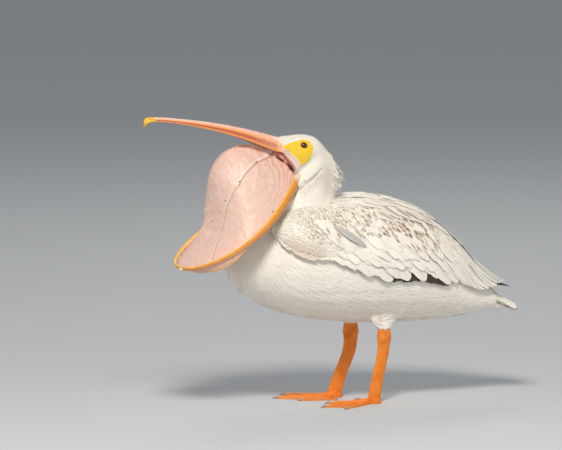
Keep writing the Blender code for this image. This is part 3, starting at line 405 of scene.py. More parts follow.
bpy.ops.object.select_all(action="DESELECT")
for node in FLESH:
    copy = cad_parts[node].copy()
    copy.data = copy.data.copy()
    copy.parent = None
    for key in [k for k in copy.keys() if k.startswith("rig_")]:
        del copy[key]
    bpy.context.scene.collection.objects.link(copy)
    copy.select_set(True)
    bpy.context.view_layer.objects.active = copy
for side in (1, -1):
    wing_pad(side).select_set(True)
bpy.ops.object.join()
skin = bpy.context.object
skin.name = "skin"
skin.data.name = "skin"
skin.data.materials.clear()
bpy.ops.object.mode_set(mode="EDIT")
bpy.ops.mesh.select_all(action="SELECT")
bpy.ops.mesh.remove_doubles(threshold=0.00001)
bpy.ops.object.mode_set(mode="OBJECT")
remesh = skin.modifiers.new("melt", "REMESH")
remesh.mode = "VOXEL"
remesh.voxel_size = SKIN_GRAIN
bpy.ops.object.modifier_apply(modifier="melt")


def keep_largest(piece):
    """Drops the inner walls and scraps that the melting leaves, and keeps the outer surface."""
    shape = bmesh.new()
    shape.from_mesh(piece.data)
    unseen, islands = set(shape.faces), []
    while unseen:
        island, edge = set(), [unseen.pop()]
        while edge:
            face = edge.pop()
            island.add(face)
            for near in (n for e in face.edges for n in e.link_faces if n in unseen):
                unseen.discard(near)
                edge.append(near)
        islands.append(island)
    largest = max(islands, key=len)
    loose = [f for island in islands if island is not largest for f in island]
    bmesh.ops.delete(shape, geom=loose, context="FACES")
    shape.to_mesh(piece.data)
    shape.free()


keep_largest(skin)


def smoothed(piece, factor, rounds):
    """Irons a piece with the smooth modifier."""
    iron = piece.modifiers.new("iron", "SMOOTH")
    iron.factor = factor
    iron.iterations = rounds
    bpy.context.view_layer.objects.active = piece
    bpy.ops.object.modifier_apply(modifier="iron")


smoothed(skin, 0.6, 10)


def vertex_places(piece):
    count = len(piece.data.vertices)
    places, normals = np.empty(count * 3, np.float32), np.empty(count * 3, np.float32)
    piece.data.vertices.foreach_get("co", places)
    piece.data.vertices.foreach_get("normal", normals)
    return places.reshape(-1, 3).astype(float), normals.reshape(-1, 3).astype(float)


places, normals = vertex_places(skin)
own = places - NAPE_ROW
forward, aside, height = head_measures(own)
in_front, strip = gape_depth(forward, height)
bare = np.maximum(
    ease((strip + 0.004) / 0.004) * (height > 0.512) * (height < 0.607),
    ease((inside_polygon(forward, height, YELLOW_PATCH) + 0.004) / 0.004) * (height > 0.54),
) * (own[:, 0] < -0.05)
groove, above = cheek_crease(forward, height)
on_head = ease((height - 0.5) / 0.05)
nape = ease((own[:, 0] + 0.05) / 0.03) * ease((height - 0.465) / 0.02) * (own[:, 0] < 0.04)
depth = (COAT_DEPTH * (1 - 0.45 * on_head) + 0.0042 * nape) * (1 - bare) + 0.0008 * bare
on_cheek = ease((np.abs(aside) - 0.012) / 0.008) * (own[:, 0] < -0.02)
depth += (0.0085 * groove - 0.002 * above) * on_cheek
places -= normals * depth[:, None]
from_eye = np.hypot(forward - EYE[0], height - EYE[2])
dent = (1 - ease((from_eye - 0.0065) / 0.0045)) * (np.abs(aside) > 0.012)
places -= np.sign(aside)[:, None] * head_point(0, 1, 0) * (dent * 0.0065)[:, None]
skin.data.vertices.foreach_set("co", places.astype(np.float32).ravel())
skin.data.update()
smoothed(skin, 0.5, 3)


def attach_colours(piece, colours):
    """Gives a piece one colour per vertex, in the attribute that every finish here reads."""
    layer = piece.data.color_attributes.new("tint", "FLOAT_COLOR", "POINT")
    four = np.concatenate([colours, np.ones((len(colours), 1))], axis=1)
    layer.data.foreach_set("color", four.astype(np.float32).ravel())


def add_node(tree, kind, feeds, **settings):
    """A node of a finish with its settings. Each input is fed by a value or by another node's socket."""
    made = tree.nodes.new(f"ShaderNode{kind}")
    for name, value in settings.items():
        setattr(made, name, value)
    for key, feed in feeds.items():
        if isinstance(feed, bpy.types.NodeSocket):
            tree.links.new(feed, made.inputs[key])
        else:
            made.inputs[key].default_value = feed
    return made


def tinted_material(name, roughness, **more):
    """A finish whose colour is the piece's own tint."""
    made, tree, shader = new_material(name, (0.8, 0.8, 0.8), roughness, **more)
    tint = add_node(tree, "Attribute", {}, attribute_name="tint")
    tree.links.new(tint.outputs["Color"], shader.inputs["Base Color"])
    return made, tree, shader, tint


WHITE = np.array((0.93, 0.875, 0.78))
CREAM = np.array((0.9, 0.8, 0.64))
GREY = np.array((0.46, 0.43, 0.41))
BROWN = np.array((0.33, 0.2, 0.115))
TAN = np.array((0.62, 0.42, 0.28))
DARK = np.array((0.022, 0.017, 0.015))
YELLOW = np.array((0.9, 0.58, 0.03))
GAPE_PINK = np.array((0.72, 0.34, 0.28))
# Painted shade for the slits of the gape
SLIT_SHADE = np.array((0.16, 0.03, 0.02))
STRIP_PALE = np.array((0.86, 0.66, 0.55))


def mixed(a, b, share):
    """One colour or direction moved towards another by a share."""
    a = np.asarray(a)
    return a + (b - a) * np.asarray(share)[..., None]


def pick(piece):
    """Selects one piece alone and makes it the active one."""
    bpy.ops.object.select_all(action="DESELECT")
    piece.select_set(True)
    bpy.context.view_layer.objects.active = piece


def finish_piece(piece, finish, slot, *nodes):
    """Gives a piece its finish, sets it on the body, and hides the parts it stands for. The slot is not used."""
    piece.data.materials.append(finish)
    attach(piece, "root")
    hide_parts(*nodes)


def face_colours(forward, height):
    """The face's markings: white feathers, the yellow patch, the pale strip behind the rim and the open mouth."""
    in_front, strip = gape_depth(forward, height)
    yellow = inside_polygon(forward, height, YELLOW_PATCH)
    colours = mixed(WHITE, STRIP_PALE, ease(strip / 0.003 + 0.5))
    colours = mixed(colours, YELLOW, ease(yellow / 0.0016 + 0.5))
    colours = mixed(colours, GAPE_PINK, ease(in_front / 0.002))
    # Painted shade in the mouth's slits
    return mixed(colours, SLIT_SHADE * 0.4, 0.95 * slit_depth(forward, height) * ease(in_front / 0.002))


places, normals = vertex_places(skin)
own = places - NAPE_ROW
forward, aside, height = head_measures(own)
face = (own[:, 0] < -0.05) & (height > 0.512)
skin_colours = np.where(face[:, None], face_colours(forward, height), WHITE)
# Painted shade in the fold where the cheek rests on the neck
groove, _ = cheek_crease(forward, height)
in_fold = (own[:, 0] < -0.03) & (height > 0.48) & (np.abs(aside) > 0.012)
skin_colours = mixed(skin_colours, np.array((0.3, 0.23, 0.17)), np.clip(1.5 * groove, 0, 0.9) * in_fold)
attach_colours(skin, skin_colours)
pick(skin)
bpy.ops.object.shade_smooth()
skin.data.uv_layers.new(name="OFBake")
bpy.ops.object.mode_set(mode="EDIT")
bpy.ops.mesh.select_all(action="SELECT")
bpy.ops.uv.smart_project(angle_limit=math.radians(66), island_margin=0.004)
bpy.ops.object.mode_set(mode="OBJECT")
skin_finish = tinted_material("skin", 0.7)[0]
finish_piece(skin, skin_finish, "white_feather", *FLESH)


# The coat's feathers: each is a thin closed vane, wider than thick, arched across and pointed or rounded.
# Many lie in one piece. Each carries its tint, its place on the skin's unwrap and a map along and across.

bpy.context.view_layer.update()
triangles = skin.data.loop_triangles
skin.data.calc_loop_triangles()
corner_ids, loop_ids = np.empty((2, len(triangles) * 3), np.int32)
triangles.foreach_get("vertices", corner_ids)
triangles.foreach_get("loops", loop_ids)
corner_ids, loop_ids = corner_ids.reshape(-1, 3), loop_ids.reshape(-1, 3)
unwrap = np.empty(len(skin.data.loops) * 2, np.float32)
skin.data.uv_layers["OFBake"].data.foreach_get("uv", unwrap)
triangle_unwrap = unwrap.reshape(-1, 2)[loop_ids]
skin_places, skin_normals = vertex_places(skin)
skin_tree = BVHTree.FromPolygons(skin_places.tolist(), corner_ids.tolist(), all_triangles=True)


def skin_unwrap(points):
    """Where points lie on the skin's unwrap, by the nearest place of the skin."""
    spots = np.empty((len(points), 2))
    for k, point in enumerate(points):
        spots[k] = triangle_unwrap[skin_tree.find_nearest(Vector(point))[2]].mean(0)
    return spots


def ring_mesh(name, rings, starts, ends, tints, along, across, unwrap_spots, flipped=False):
    """Vanes as closed tubes: rings of points (vane, station, place), closed at both ends by one point each."""
    count, stations, places_round = rings.shape[:3]
    size = stations * places_round + 2
    points = np.concatenate([starts[:, None], rings.reshape(count, -1, 3), ends[:, None]], axis=1)
    ring = 1 + np.arange(stations * places_round).reshape(stations, places_round)
    after = np.roll(ring, -1, axis=1)
    a, b, c, d = ring[:-1], after[:-1], after[1:], ring[1:]
    first = np.stack([np.zeros(places_round, int), after[0], ring[0]], -1)
    last = np.stack([ring[-1], after[-1], np.full(places_round, size - 1)], -1)
    faces = np.concatenate([first, *(np.stack(abc, -1).reshape(-1, 3) for abc in ((a, b, c), (a, c, d))), last])
    if flipped:
        faces = faces[:, ::-1]
    all_faces = (faces[None] + (np.arange(count) * size)[:, None, None]).reshape(-1, 3)
    made = mesh_from_arrays(name, points.reshape(-1, 3), all_faces)
    attach_colours(made, np.broadcast_to(tints, (count, size, 3)).reshape(-1, 3))
    vane_map = np.broadcast_to(np.stack([along, across], -1), (count, size, 2))
    patch = unwrap_spots[:, None] + 0.003 * (vane_map * (1, 0.5) - (0.5, 0))
    for layer, values in (("OFBake", patch), ("vane", vane_map)):
        values = values.reshape(-1, 2)[all_faces.ravel()]
        made.data.uv_layers.new(name=layer).data.foreach_set("uv", values.astype(np.float32).ravel())
    made.data.uv_layers.active = made.data.uv_layers["OFBake"]
    pick(made)
    bpy.ops.object.shade_smooth_by_angle(angle=math.radians(40))
    return made


def vane_places(stations, columns):
    """The places on a vane: shares along it, the ring across its top and back under it, and their maps."""
    shares = np.array(stations)
    over = np.linspace(-1, 1, columns)
    across = np.concatenate([over, over[::-1][1:-1]])
    level = np.concatenate([[0], np.ones(columns - 2), [0], -np.ones(columns - 2)])
    along = np.concatenate([[0.0], np.repeat(shares, len(across)), [1.0]])
    sideways = np.concatenate([[0.0], np.tile(across, len(shares)), [0.0]])
    return shares, across, level, along, sideways


def vane_width(share, point):
    """A vane's half width along it. Point 0 rounds the tip off late, point 1 draws it out from the middle."""
    start = 0.72 - 0.42 * point
    rounded = np.clip((share - start) / (1 - start), 0, 1)
    return np.clip(0.4 + 1.2 * share, 0, 1) * np.sqrt(np.clip(1 - rounded ** (2.2 - 0.6 * point), 0, 1))


COAT_STATIONS = (0.3, 0.66, 0.9)
COAT_THICK = 0.00018


def scale_tint(tree, shader, tint, share):
    """Darkens or lightens a finish's tint by a socket."""
    tone = add_node(tree, "VectorMath", {0: tint.outputs["Color"], "Scale": share}, operation="SCALE")
    tree.links.new(tone.outputs[0], shader.inputs["Base Color"])


def feather_finish(name, roughness, shaft, barbs):
    """Feather: the vane's tint, a faint shaft, and barbs that slant from it, as colour and as relief."""
    made, tree, shader, tint = tinted_material(name, roughness, Sheen_Weight=0.12, Sheen_Roughness=0.4)
    spot = add_node(tree, "UVMap", {}, uv_map="vane")
    split = add_node(tree, "SeparateXYZ", {"Vector": spot.outputs["UV"]})
    away = add_node(tree, "Math", {0: split.outputs["Y"]}, operation="ABSOLUTE")
    slant = add_node(tree, "Math", {0: away.outputs[0], 1: -0.35, 2: split.outputs["X"]}, operation="MULTIPLY_ADD")
    wave = add_node(tree, "Math", {0: slant.outputs[0], 1: barbs}, operation="MULTIPLY")
    sine = add_node(tree, "Math", {0: wave.outputs[0]}, operation="SINE")
    shade = add_node(tree, "Math", {0: sine.outputs[0], 1: 0.035, 2: 0.965}, operation="MULTIPLY_ADD")
    ranges = {"Value": away.outputs[0], "From Max": 0.1, "To Min": shaft, "To Max": 0.0}
    near_shaft = add_node(tree, "MapRange", ranges)
    less = add_node(tree, "Math", {0: shade.outputs[0], 1: near_shaft.outputs["Result"]}, operation="SUBTRACT")
    scale_tint(tree, shader, tint, less.outputs[0])
    return made


body_finish = feather_finish("body_feather", 0.62, 0.03, 90.0)
wing_finish = feather_finish("wing_feather", 0.55, 0.1, 260.0)


# The steps from a cell of a grid to itself and to its neighbours
CELL_STEPS = [(i, j, k) for i in (-1, 0, 1) for j in (-1, 0, 1) for k in (-1, 0, 1)]


def spaced(spots, spacing):
    """Takes spots one by one where none taken before lies nearer than the spot's spacing. Gives their numbers."""
    cells, limits = np.floor(spots / spacing.max()).astype(int), spacing * spacing
    grid, kept = {}, []
    for k, ((x, y, z), (a, b, c), limit) in enumerate(zip(cells.tolist(), spots.tolist(), limits.tolist())):
        near = (q for i, j, h in CELL_STEPS for q in grid.get((x + i, y + j, z + h), ()))
        if all((q[0] - a) ** 2 + (q[1] - b) ** 2 + (q[2] - c) ** 2 >= limit for q in near):
            grid.setdefault((x, y, z), []).append((a, b, c))
            kept.append(k)
    return kept


def scattered(spacing, seed, keep):
    """Even random roots on the skin, a spacing apart. Keep says where roots may be."""
    rng = np.random.default_rng(seed)
    corners = skin_places[corner_ids]
    areas = np.linalg.norm(np.cross(corners[:, 1] - corners[:, 0], corners[:, 2] - corners[:, 0]), axis=1) / 2
    areas = np.where(keep(corners.mean(1) - NAPE_ROW), areas, 0.0)
    tries = int(areas.sum() / (spacing**2) * 2.2)
    picked = rng.choice(len(areas), tries, p=areas / areas.sum())
    a, b = rng.random(tries), rng.random(tries)
    over = a + b > 1
    a[over], b[over] = 1 - a[over], 1 - b[over]
    shares = np.stack([1 - a - b, a, b], -1)
    spots = (corners[picked] * shares[..., None]).sum(1)
    ups = unit((skin_normals[corner_ids[picked]] * shares[..., None]).sum(1))
    unwraps = (triangle_unwrap[picked] * shares[..., None]).sum(1)
    kept = spaced(spots, np.full(tries, spacing))
    return spots[kept], ups[kept], unwraps[kept]


# The small feathers of head, neck, breast, belly, back and thighs: pennaceous tips over down, each grown
# from the skin and lying backwards over the next. They are smallest at the face and longest on the rump.

FEATHER_EDGE = (
    (-0.058, 78), (-0.024, 86), (0.01, 93), (0.057, 99), (0.103, 103.5), (0.154, 102), (0.193, 100), (0.237, 99),
    (0.278, 92.5), (0.31, 84), (0.351, 67), (0.392, 35),
)  # where the flight feathers end along the flank
feather_edge = smooth_line(FEATHER_EDGE)


def hull_place(own):
    """A place on or near the hull as x and its angle down from the middle of the back, in degrees."""
    rows = body_rows(own[:, 0])
    middle, tall = (rows[:, 0] + rows[:, 1]) / 2, (rows[:, 0] - rows[:, 1]) / 2
    return own[:, 0], np.degrees(np.arctan2(np.abs(own[:, 1]) / rows[:, 2], (own[:, 2] - middle) / tall))


def under_wing(own):
    x, angle = hull_place(own)
    low = np.where(x < 0.0, wing_low(x)[:, 0] - 3, feather_edge(x)[:, 0] - 13)
    high = np.where(x < 0.2, wing_top(x)[:, 0] + 5, 26)
    return (x > -0.163) & (x < 0.335) & (angle > high) & (angle < low) & (own[:, 2] < 0.48)


def on_pad(own):
    """Whether a place lies on the wing's pad rather than on the body or the neck beside it."""
    x, angle = hull_place(own)
    inside = (angle > wing_top(x)[:, 0] + 2) & (angle < wing_low(x)[:, 0] + 1) & (x > -0.17)
    return inside & (x < 0.02) & (own[:, 2] < 0.45) & (np.abs(own[:, 1]) > 0.045)


def head_share(own):
    return ease((own[:, 2] - 0.5) / 0.05) * (own[:, 0] < 0.05)


def bare_place(own):
    forward, aside, height = head_measures(own)
    in_front, strip = gape_depth(forward, height)
    mouth = (strip > 0) & (height > 0.512) & (height < 0.607)
    patch = (inside_polygon(forward, height, YELLOW_PATCH) > 0.0004) & (height > 0.54)
    bill = (forward > 0.1475) & (height > 0.5)
    jaw = (height < 0.512) & (forward > 0.108) & (height > 0.47) & (np.abs(aside) < 0.045)
    return (own[:, 0] < -0.05) & (mouth | patch | bill) | jaw


def flow(own):
    """The lie of the coat: back over the crown, down the neck and the breast, and back along the belly."""
    x, z = own[:, 0], own[:, 2]
    head = head_share(own)
    slope = np.radians(64 * (1 - ease((x + 0.25) / 0.34)) + 5)
    body = np.stack([np.cos(slope), 0 * x, -np.sin(slope)], -1)
    on_thigh = ease((0.195 - z) / 0.02) * (x > 0) * (x < 0.2)
    body = mixed(body, np.array((0.3, 0.0, -1.0)), on_thigh)
    nape = ease((x + 0.075) / 0.05)
    down = mixed(np.array((1.0, 0.0, -0.55)), np.array((0.25, 0.0, -1.0)), nape)
    neck = np.array((0.3, 0.0, -1.0))
    upper = mixed(neck, down, ease((z - 0.54) / 0.03))
    lower_neck = ease((z - 0.445) / 0.04) * (x < 0.02)
    return unit(mixed(body, upper, np.maximum(head, lower_neck)))


def noise_at(points, scale, seed):
    """Smooth noise of about -1 to 1 at points."""
    shift = Vector((seed * 7.31, seed * 3.17, seed * 5.53))
    values = [noise.noise(Vector(p) * scale + shift) for p in points.reshape(-1, 3)]
    return np.array(values).reshape(points.shape[:-1])


def solid_tree(nodes):
    """One search tree over the loose solids that feathers must not run into."""
    vertices, faces = [], []
    for node in nodes:
        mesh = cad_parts[node].data
        start = len(vertices)
        vertices += [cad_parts[node].matrix_world @ v.co for v in mesh.vertices]
        faces += [[start + i for i in p.vertices] for p in mesh.polygons]
    return BVHTree.FromPolygons(vertices, faces)


bill_tree = solid_tree(("lower_bill", "pouch", "upper_bill"))


def lay_coat(name, roots, ups, unwraps, ways, lengths, widths, lifts, point, tints):
    """Feathers rooted in the skin that follow its curve and end a little off it."""
    straight = roots + ways * lengths[:, None]
    on_skin = np.array([skin_tree.find_nearest(Vector(p))[0] for p in straight])
    fall = np.clip(((on_skin - straight) * ups).sum(-1), -0.6 * lengths, 0.25 * lengths)
    shares, across, level, along, sideways = vane_places(COAT_STATIONS, 3)
    s = shares[None, :, None]
    rise = fall[:, None, None] * s**2 + lifts[:, None, None] * s**1.2 - 0.0006 * (1 - s)
    middles = roots[:, None] + ways[:, None] * lengths[:, None, None] * s + ups[:, None] * rise
    slope = 2 * fall[:, None, None] * s + 1.2 * lifts[:, None, None] * s**0.2
    tangents = ways[:, None] * lengths[:, None, None] + ups[:, None] * slope
    sides = unit(np.cross(ways, ups))
    tops = unit(np.cross(np.broadcast_to(sides[:, None], tangents.shape), tangents))
    half = (widths[:, None] / 2 * vane_width(shares, point)[None])[..., None, None]
    arch = 0.12 * half * (1 - across[None, None, :, None] ** 2)
    rings = (
        middles[:, :, None]
        + sides[:, None, None] * half * across[None, None, :, None]
        + tops[:, :, None] * (arch + COAT_THICK * level[None, None, :, None])
    )
    starts = roots - ups * 0.0006
    ends = straight + ups * (fall + lifts)[:, None]
    tips = [bill_tree.find_nearest(Vector(p), 0.003)[0] is None for p in ends]
    bellies = [bill_tree.find_nearest(Vector(p), 0.0022)[0] is None for p in middles[:, 1]]
    off_skin = np.array([skin_tree.find_nearest(Vector(p))[3] for p in ends])
    free = np.array(tips) & np.array(bellies) & (off_skin < lifts + 0.0035)
    tints = tints[free][:, None]
    return ring_mesh(name, rings[free], starts[free], ends[free], tints, along, sideways, unwraps[free])


def coat_tints(points, cream, seed):
    """White feathers, creamier or greyer in soft patches; painted shade on the upper neck and in the cheek's fold.
    """
    patch = noise_at(points, 16.0, seed)
    fine = noise_at(points, 70.0, seed + 1)
    tints = mixed(WHITE * 1.03, CREAM, np.clip(cream + 0.16 * patch + 0.22 * fine, 0, 0.8))
    tints = mixed(tints, GREY, np.clip(0.05 - 0.1 * fine, 0, 0.14))
    forward, aside, height = head_measures(points - NAPE_ROW)
    groove, _ = cheek_crease(forward, height)
    # Painted shade, a warm grey-brown, over the upper neck below the head; then all head feathers a little darker
    painted_neck_shade = np.exp(-(((forward - 0.044) / 0.026) ** 2) - ((height - 0.528) / 0.034) ** 2) * (points[:, 0] < 0.05)
    tints = mixed(tints, np.array((0.58, 0.48, 0.39)), np.clip(painted_neck_shade * (0.46 + 0.3 * fine), 0, 0.8))
    tints = tints * (1 - 0.07 * head_share(points - NAPE_ROW))[:, None]
    return mixed(tints, np.array((0.27, 0.2, 0.14)), np.clip(1.5 * groove, 0, 0.92) * (np.abs(aside) > 0.012))


def coat_piece(name, spacing, seed, keep, size, width_share, lift, swing, point, cream, nodes):
    """One region of the coat: scatters its roots and sizes, tints and lays its feathers."""
    rng = np.random.default_rng(seed)
    roots, ups, unwraps = scattered(spacing, seed, keep)
    own = roots - NAPE_ROW
    free = ~bare_place(own) & ~under_wing(own) & ~on_pad(own) & keep(own)
    roots, ups, unwraps, own = roots[free], ups[free], unwraps[free], own[free]
    count = len(roots)
    ways = flow(own)
    lie = np.stack([noise_at(roots, 22.0, seed + k) for k in range(3)], -1)
    ways = unit(ways + lie * swing + rng.normal(0, 0.1, (count, 3)))
    ways = unit(ways - ups * (ways * ups).sum(-1)[:, None])
    lengths = size(own) * rng.uniform(0.82, 1.18, count)
    for shorter in (0.75, 0.7, 0.7, 0.7):
        lengths = np.where(on_pad(own + ways * lengths[:, None]), lengths * shorter, lengths)
    trough = ease((0.52 - own[:, 2]) / 0.02) * (own[:, 2] > 0.465) * (own[:, 0] > -0.012)
    lengths = lengths * (1 - 0.42 * trough * (1 - mantle(own)))
    widths = lengths * width_share * rng.uniform(0.85, 1.15, count) * (1 - 0.35 * ragged(own))
    lifts = lift(own) * rng.uniform(0.55, 1.35, count) * (1 + 1.7 * ragged(own) * (rng.random(count) > 0.8))
    tints = coat_tints(roots, cream, seed)
    made = lay_coat(name, roots, ups, unwraps, ways, lengths, widths, lifts, point, tints)
    finish_piece(made, body_finish, "white_feather", *nodes)


def ragged(own):
    """The loose fringe down the back of the neck."""
    low_end, high_end = ease((own[:, 2] - 0.47) / 0.02), ease((0.572 - own[:, 2]) / 0.03)
    return ease((own[:, 0] + 0.03) / 0.03) * low_end * high_end


def mantle(own):
    """The fuller feathers where the neck's foot meets the back."""
    return ease((own[:, 0] - 0.004) / 0.014) * ease((0.075 - own[:, 0]) / 0.03) * ease((own[:, 2] - 0.45) / 0.012)


def head_keep(own):
    return (own[:, 2] > 0.525) & (own[:, 0] < 0.06)


def neck_keep(own):
    return (own[:, 2] <= 0.525) & (own[:, 2] > 0.455) & (own[:, 0] < 0.03)


def front_keep(own):
    return ~head_keep(own) & ~neck_keep(own) & (own[:, 0] < 0.02)


def rear_keep(own):
    return ~head_keep(own) & ~neck_keep(own) & (own[:, 0] >= 0.02) & (own[:, 0] < 0.398)


coat_piece(
    "coat_head", 0.0016, 11, head_keep,
    lambda own: 0.0062 + 0.0048 * ease((0.6 - own[:, 2]) / 0.06) + 0.005 * ragged(own), 0.3,
    lambda own: 0.0007 + 0.0004 * ease((0.6 - own[:, 2]) / 0.06) + 0.0032 * ragged(own), 0.25, 0.8, 0.02, ("head",),
)
coat_piece(
    "coat_neck", 0.0023, 12, neck_keep, lambda own: 0.0135 + 0.003 * ragged(own), 0.25,
    lambda own: 0.0012 + 0.003 * ragged(own) + 0.003 * mantle(own), 0.25, 1.0, 0.05, ("neck",),
)
coat_piece(
    "coat_front", 0.0034, 13, front_keep, lambda own: 0.023 + 0.007 * ease((own[:, 0] + 0.15) / 0.15), 0.22,
    lambda own: 0.0014, 0.28, 1.0, 0.06, ("torso",),
)
coat_piece(
    "coat_rear", 0.0037, 14, rear_keep,
    lambda own: 0.03 - 0.014 * ease((own[:, 0] - 0.345) / 0.035) - 0.019 * ease((0.205 - own[:, 2]) / 0.03), 0.22,
    lambda own: 0.0015 - 0.0006 * ease((0.205 - own[:, 2]) / 0.03) + 0.0035 * mantle(own), 0.28, 1.0, 0.06,
    ("torso", "thigh_left", "thigh_right"),
)


# The folded wings: stiff flight feathers lie folded under rows of coverts, all rooted along the arm's pad.
# Each tier is laid over the last from the wing's underside outwards, on the left, then mirrored to the right
# with draws of its own. The dark flight feathers show only in gaps along the lower edge and at the tips.

WING_NODES = {1: "wing_left", -1: "wing_right"}
VANE_STATIONS = (0.06, 0.16, 0.27, 0.38, 0.49, 0.6, 0.7, 0.79, 0.86, 0.92, 0.965, 0.99)
COVERT_STATIONS = (0.2, 0.42, 0.6, 0.76, 0.88, 0.96)
FRAYED_STATIONS = (0.1, 0.3, 0.5, 0.64, 0.73, 0.79, 0.83, 0.865, 0.895, 0.92, 0.94, 0.958, 0.973, 0.986, 0.995)
HANGING = (
    (-0.03, 0.0), (-0.008, 0.5), (0.016, 1.0), (0.036, 2.5), (0.055, 0.0), (0.078, 3.0), (0.102, 0.0),
    (0.124, 3.5), (0.145, 1.0), (0.166, 7.5), (0.188, 0.5), (0.208, 8.0), (0.224, 6.0), (0.252, 0.5), (0.275, 1.5),
    (0.297, 0.0),
)  # the hanging feathers' tips: x, and how many degrees above the wing's edge
VANE_THICK = 0.00035
TRAIL_STEPS = 12
SPOT_BAND = (
    (-0.078, 0.434), (-0.024, 0.444), (0.039, 0.454), (0.104, 0.46), (0.154, 0.457), (0.207, 0.44),
    (0.23, 0.422), (0.251, 0.39), (0.26, 0.362), (0.254, 0.336), (0.191, 0.331), (0.159, 0.348), (0.12, 0.366),
    (0.091, 0.376), (0.039, 0.357), (-0.024, 0.357), (-0.056, 0.37), (-0.084, 0.402),
)  # where coverts carry brown streaks, seen from the side: towards the tail, and height
SPOT_HEART = (0.195, 0.39)


def spot_strength(x, angle, lift):
    """How brown the streaks are on a covert at a place of the left wing."""
    p = body_point(x, angle, lift)
    u = math.cos(CAMERA_TURN) * p[..., 0] + math.sin(CAMERA_TURN) * p[..., 1]
    v = p[..., 2] + 0.117 * p[..., 1] + 0.038 * p[..., 0]
    band = ease(inside_polygon(u, v, SPOT_BAND) / 0.03 + 0.3)
    heart = np.exp(-(((u - SPOT_HEART[0]) / 0.065) ** 2) - ((v - SPOT_HEART[1]) / 0.038) ** 2)
    return band * (0.62 + 0.75 * heart)


def no_lift(x, angle):
    return 0.0 * x


def cover_lift(x, angle):
    """The level of the arm's pad and of the feather tiers behind it, for the small feathers that lie on them."""
    tiers = 0.003 * ease((np.degrees(angle) - 9) / 12)
    tiers = tiers + 0.0105 * ease((np.degrees(angle) - 13) / 20) * ease((x + 0.02) / 0.1)
    return np.maximum(over_pad(x, angle), tiers * ease((x + 0.165) / 0.02))


def lay_vanes(name, side, x, angle, headings, lengths, widths, lifts, finish, tints, **more):
    """Feathers that end at places of the hull and follow it back to their roots. Angles are in radians."""
    bend, tilt, point = more.get("bend", 0.0), more.get("tilt", 0.003), more.get("point", 0.0)
    stations, columns = more.get("stations", VANE_STATIONS), more.get("columns", 7)
    crown, ragged_edge = more.get("crown", 0.0012), more.get("ragged", 0.05)
    rng = np.random.default_rng(more["seed"])
    trail = [(x, angle, headings)]
    here = (x, angle)
    for k in range(TRAIL_STEPS):
        way = headings - bend * (k + 1) / TRAIL_STEPS
        here = walk(*here, way + math.pi, lengths / TRAIL_STEPS)
        trail.append((*here, way))
    trail = np.array(trail[::-1])
    shares, across, level, along, sideways = vane_places(stations, columns)
    spot = shares * TRAIL_STEPS
    low = np.clip(np.floor(spot).astype(int), 0, TRAIL_STEPS - 1)
    part = (spot - low)[:, None]
    middle_x, middle_a, ways = (
        (trail[low, k] * (1 - part) + trail[low + 1, k] * part).T[..., None] for k in range(3)
    )
    count = len(x)
    frayed = 1 + ragged_edge * rng.normal(0, 1, (count, len(shares), 2)).repeat(len(across) // 2, 2)
    shape = vane_width(shares, point)[None, :, None]
    half = (widths[:, None] / 2)[..., None] * shape * frayed
    reach = half * across[None, None]
    xs, angles = walk(middle_x + 0 * reach, middle_a + 0 * reach, ways + math.pi / 2 + 0 * reach, reach)
    lift = lifts[0][:, None] + (lifts[1] - lifts[0])[:, None] * shares[None] ** more.get("sweep", 1.0)
    cover = more.get("cover", no_lift)
    slant = tilt / 2 * np.clip(shares * 2 + 0.2, 0, 1)[None, :, None] * shape * across[None, None]
    wave = 0.0005 * np.sin(along[1:-1].reshape(1, len(shares), -1) * 9 + rng.uniform(0, 6, (count, 1, 1)))
    rise = lift[..., None] + slant + wave + crown * (1 - across**2)[None, None] * shape
    rise = rise + VANE_THICK * level[None, None] + cover(xs, angles)
    rings = on_side(body_point(xs, angles, rise), side)
    start_rise = lifts[0] + cover(trail[0, 0], trail[0, 1])
    starts = on_side(body_point(trail[0, 0], trail[0, 1], start_rise), side)
    ends = on_side(body_point(x, angle, lifts[1] + crown * 0.3 + cover(x, angle)), side)
    if callable(tints):
        tints = tints(along, sideways)
    roots = on_side(body_point(trail[4, 0], trail[4, 1], lifts[0]), side)
    made = ring_mesh(
        name, rings, starts, ends, tints, along, sideways, skin_unwrap(roots), flipped=side > 0
    )
    finish_piece(made, finish, "wing_feather", WING_NODES[side])
    return made


def vane_tints(base, streak, strength, edge=None, narrow=0.46, first=0.44):
    """Tints over each vane: its own base, a brown streak down the middle near the tip, and a paler edge."""

    def at(along, sideways):
        streaked = bell(sideways / narrow) * ease((along - first) / 0.16) * ease((0.98 - along) / 0.07)
        shares = np.clip(strength[:, None] * streaked[None], 0, 1)
        tints = mixed(base[:, None], streak, shares)
        if edge is not None:
            rim = ease((np.abs(sideways) - 0.55) / 0.4) * 0.7
            tints = mixed(tints, edge, np.broadcast_to(rim[None], shares.shape))
        return tints

    return at


# The side of the grid's cells by which small coverts are kept apart
COVERT_CELL = 0.0112


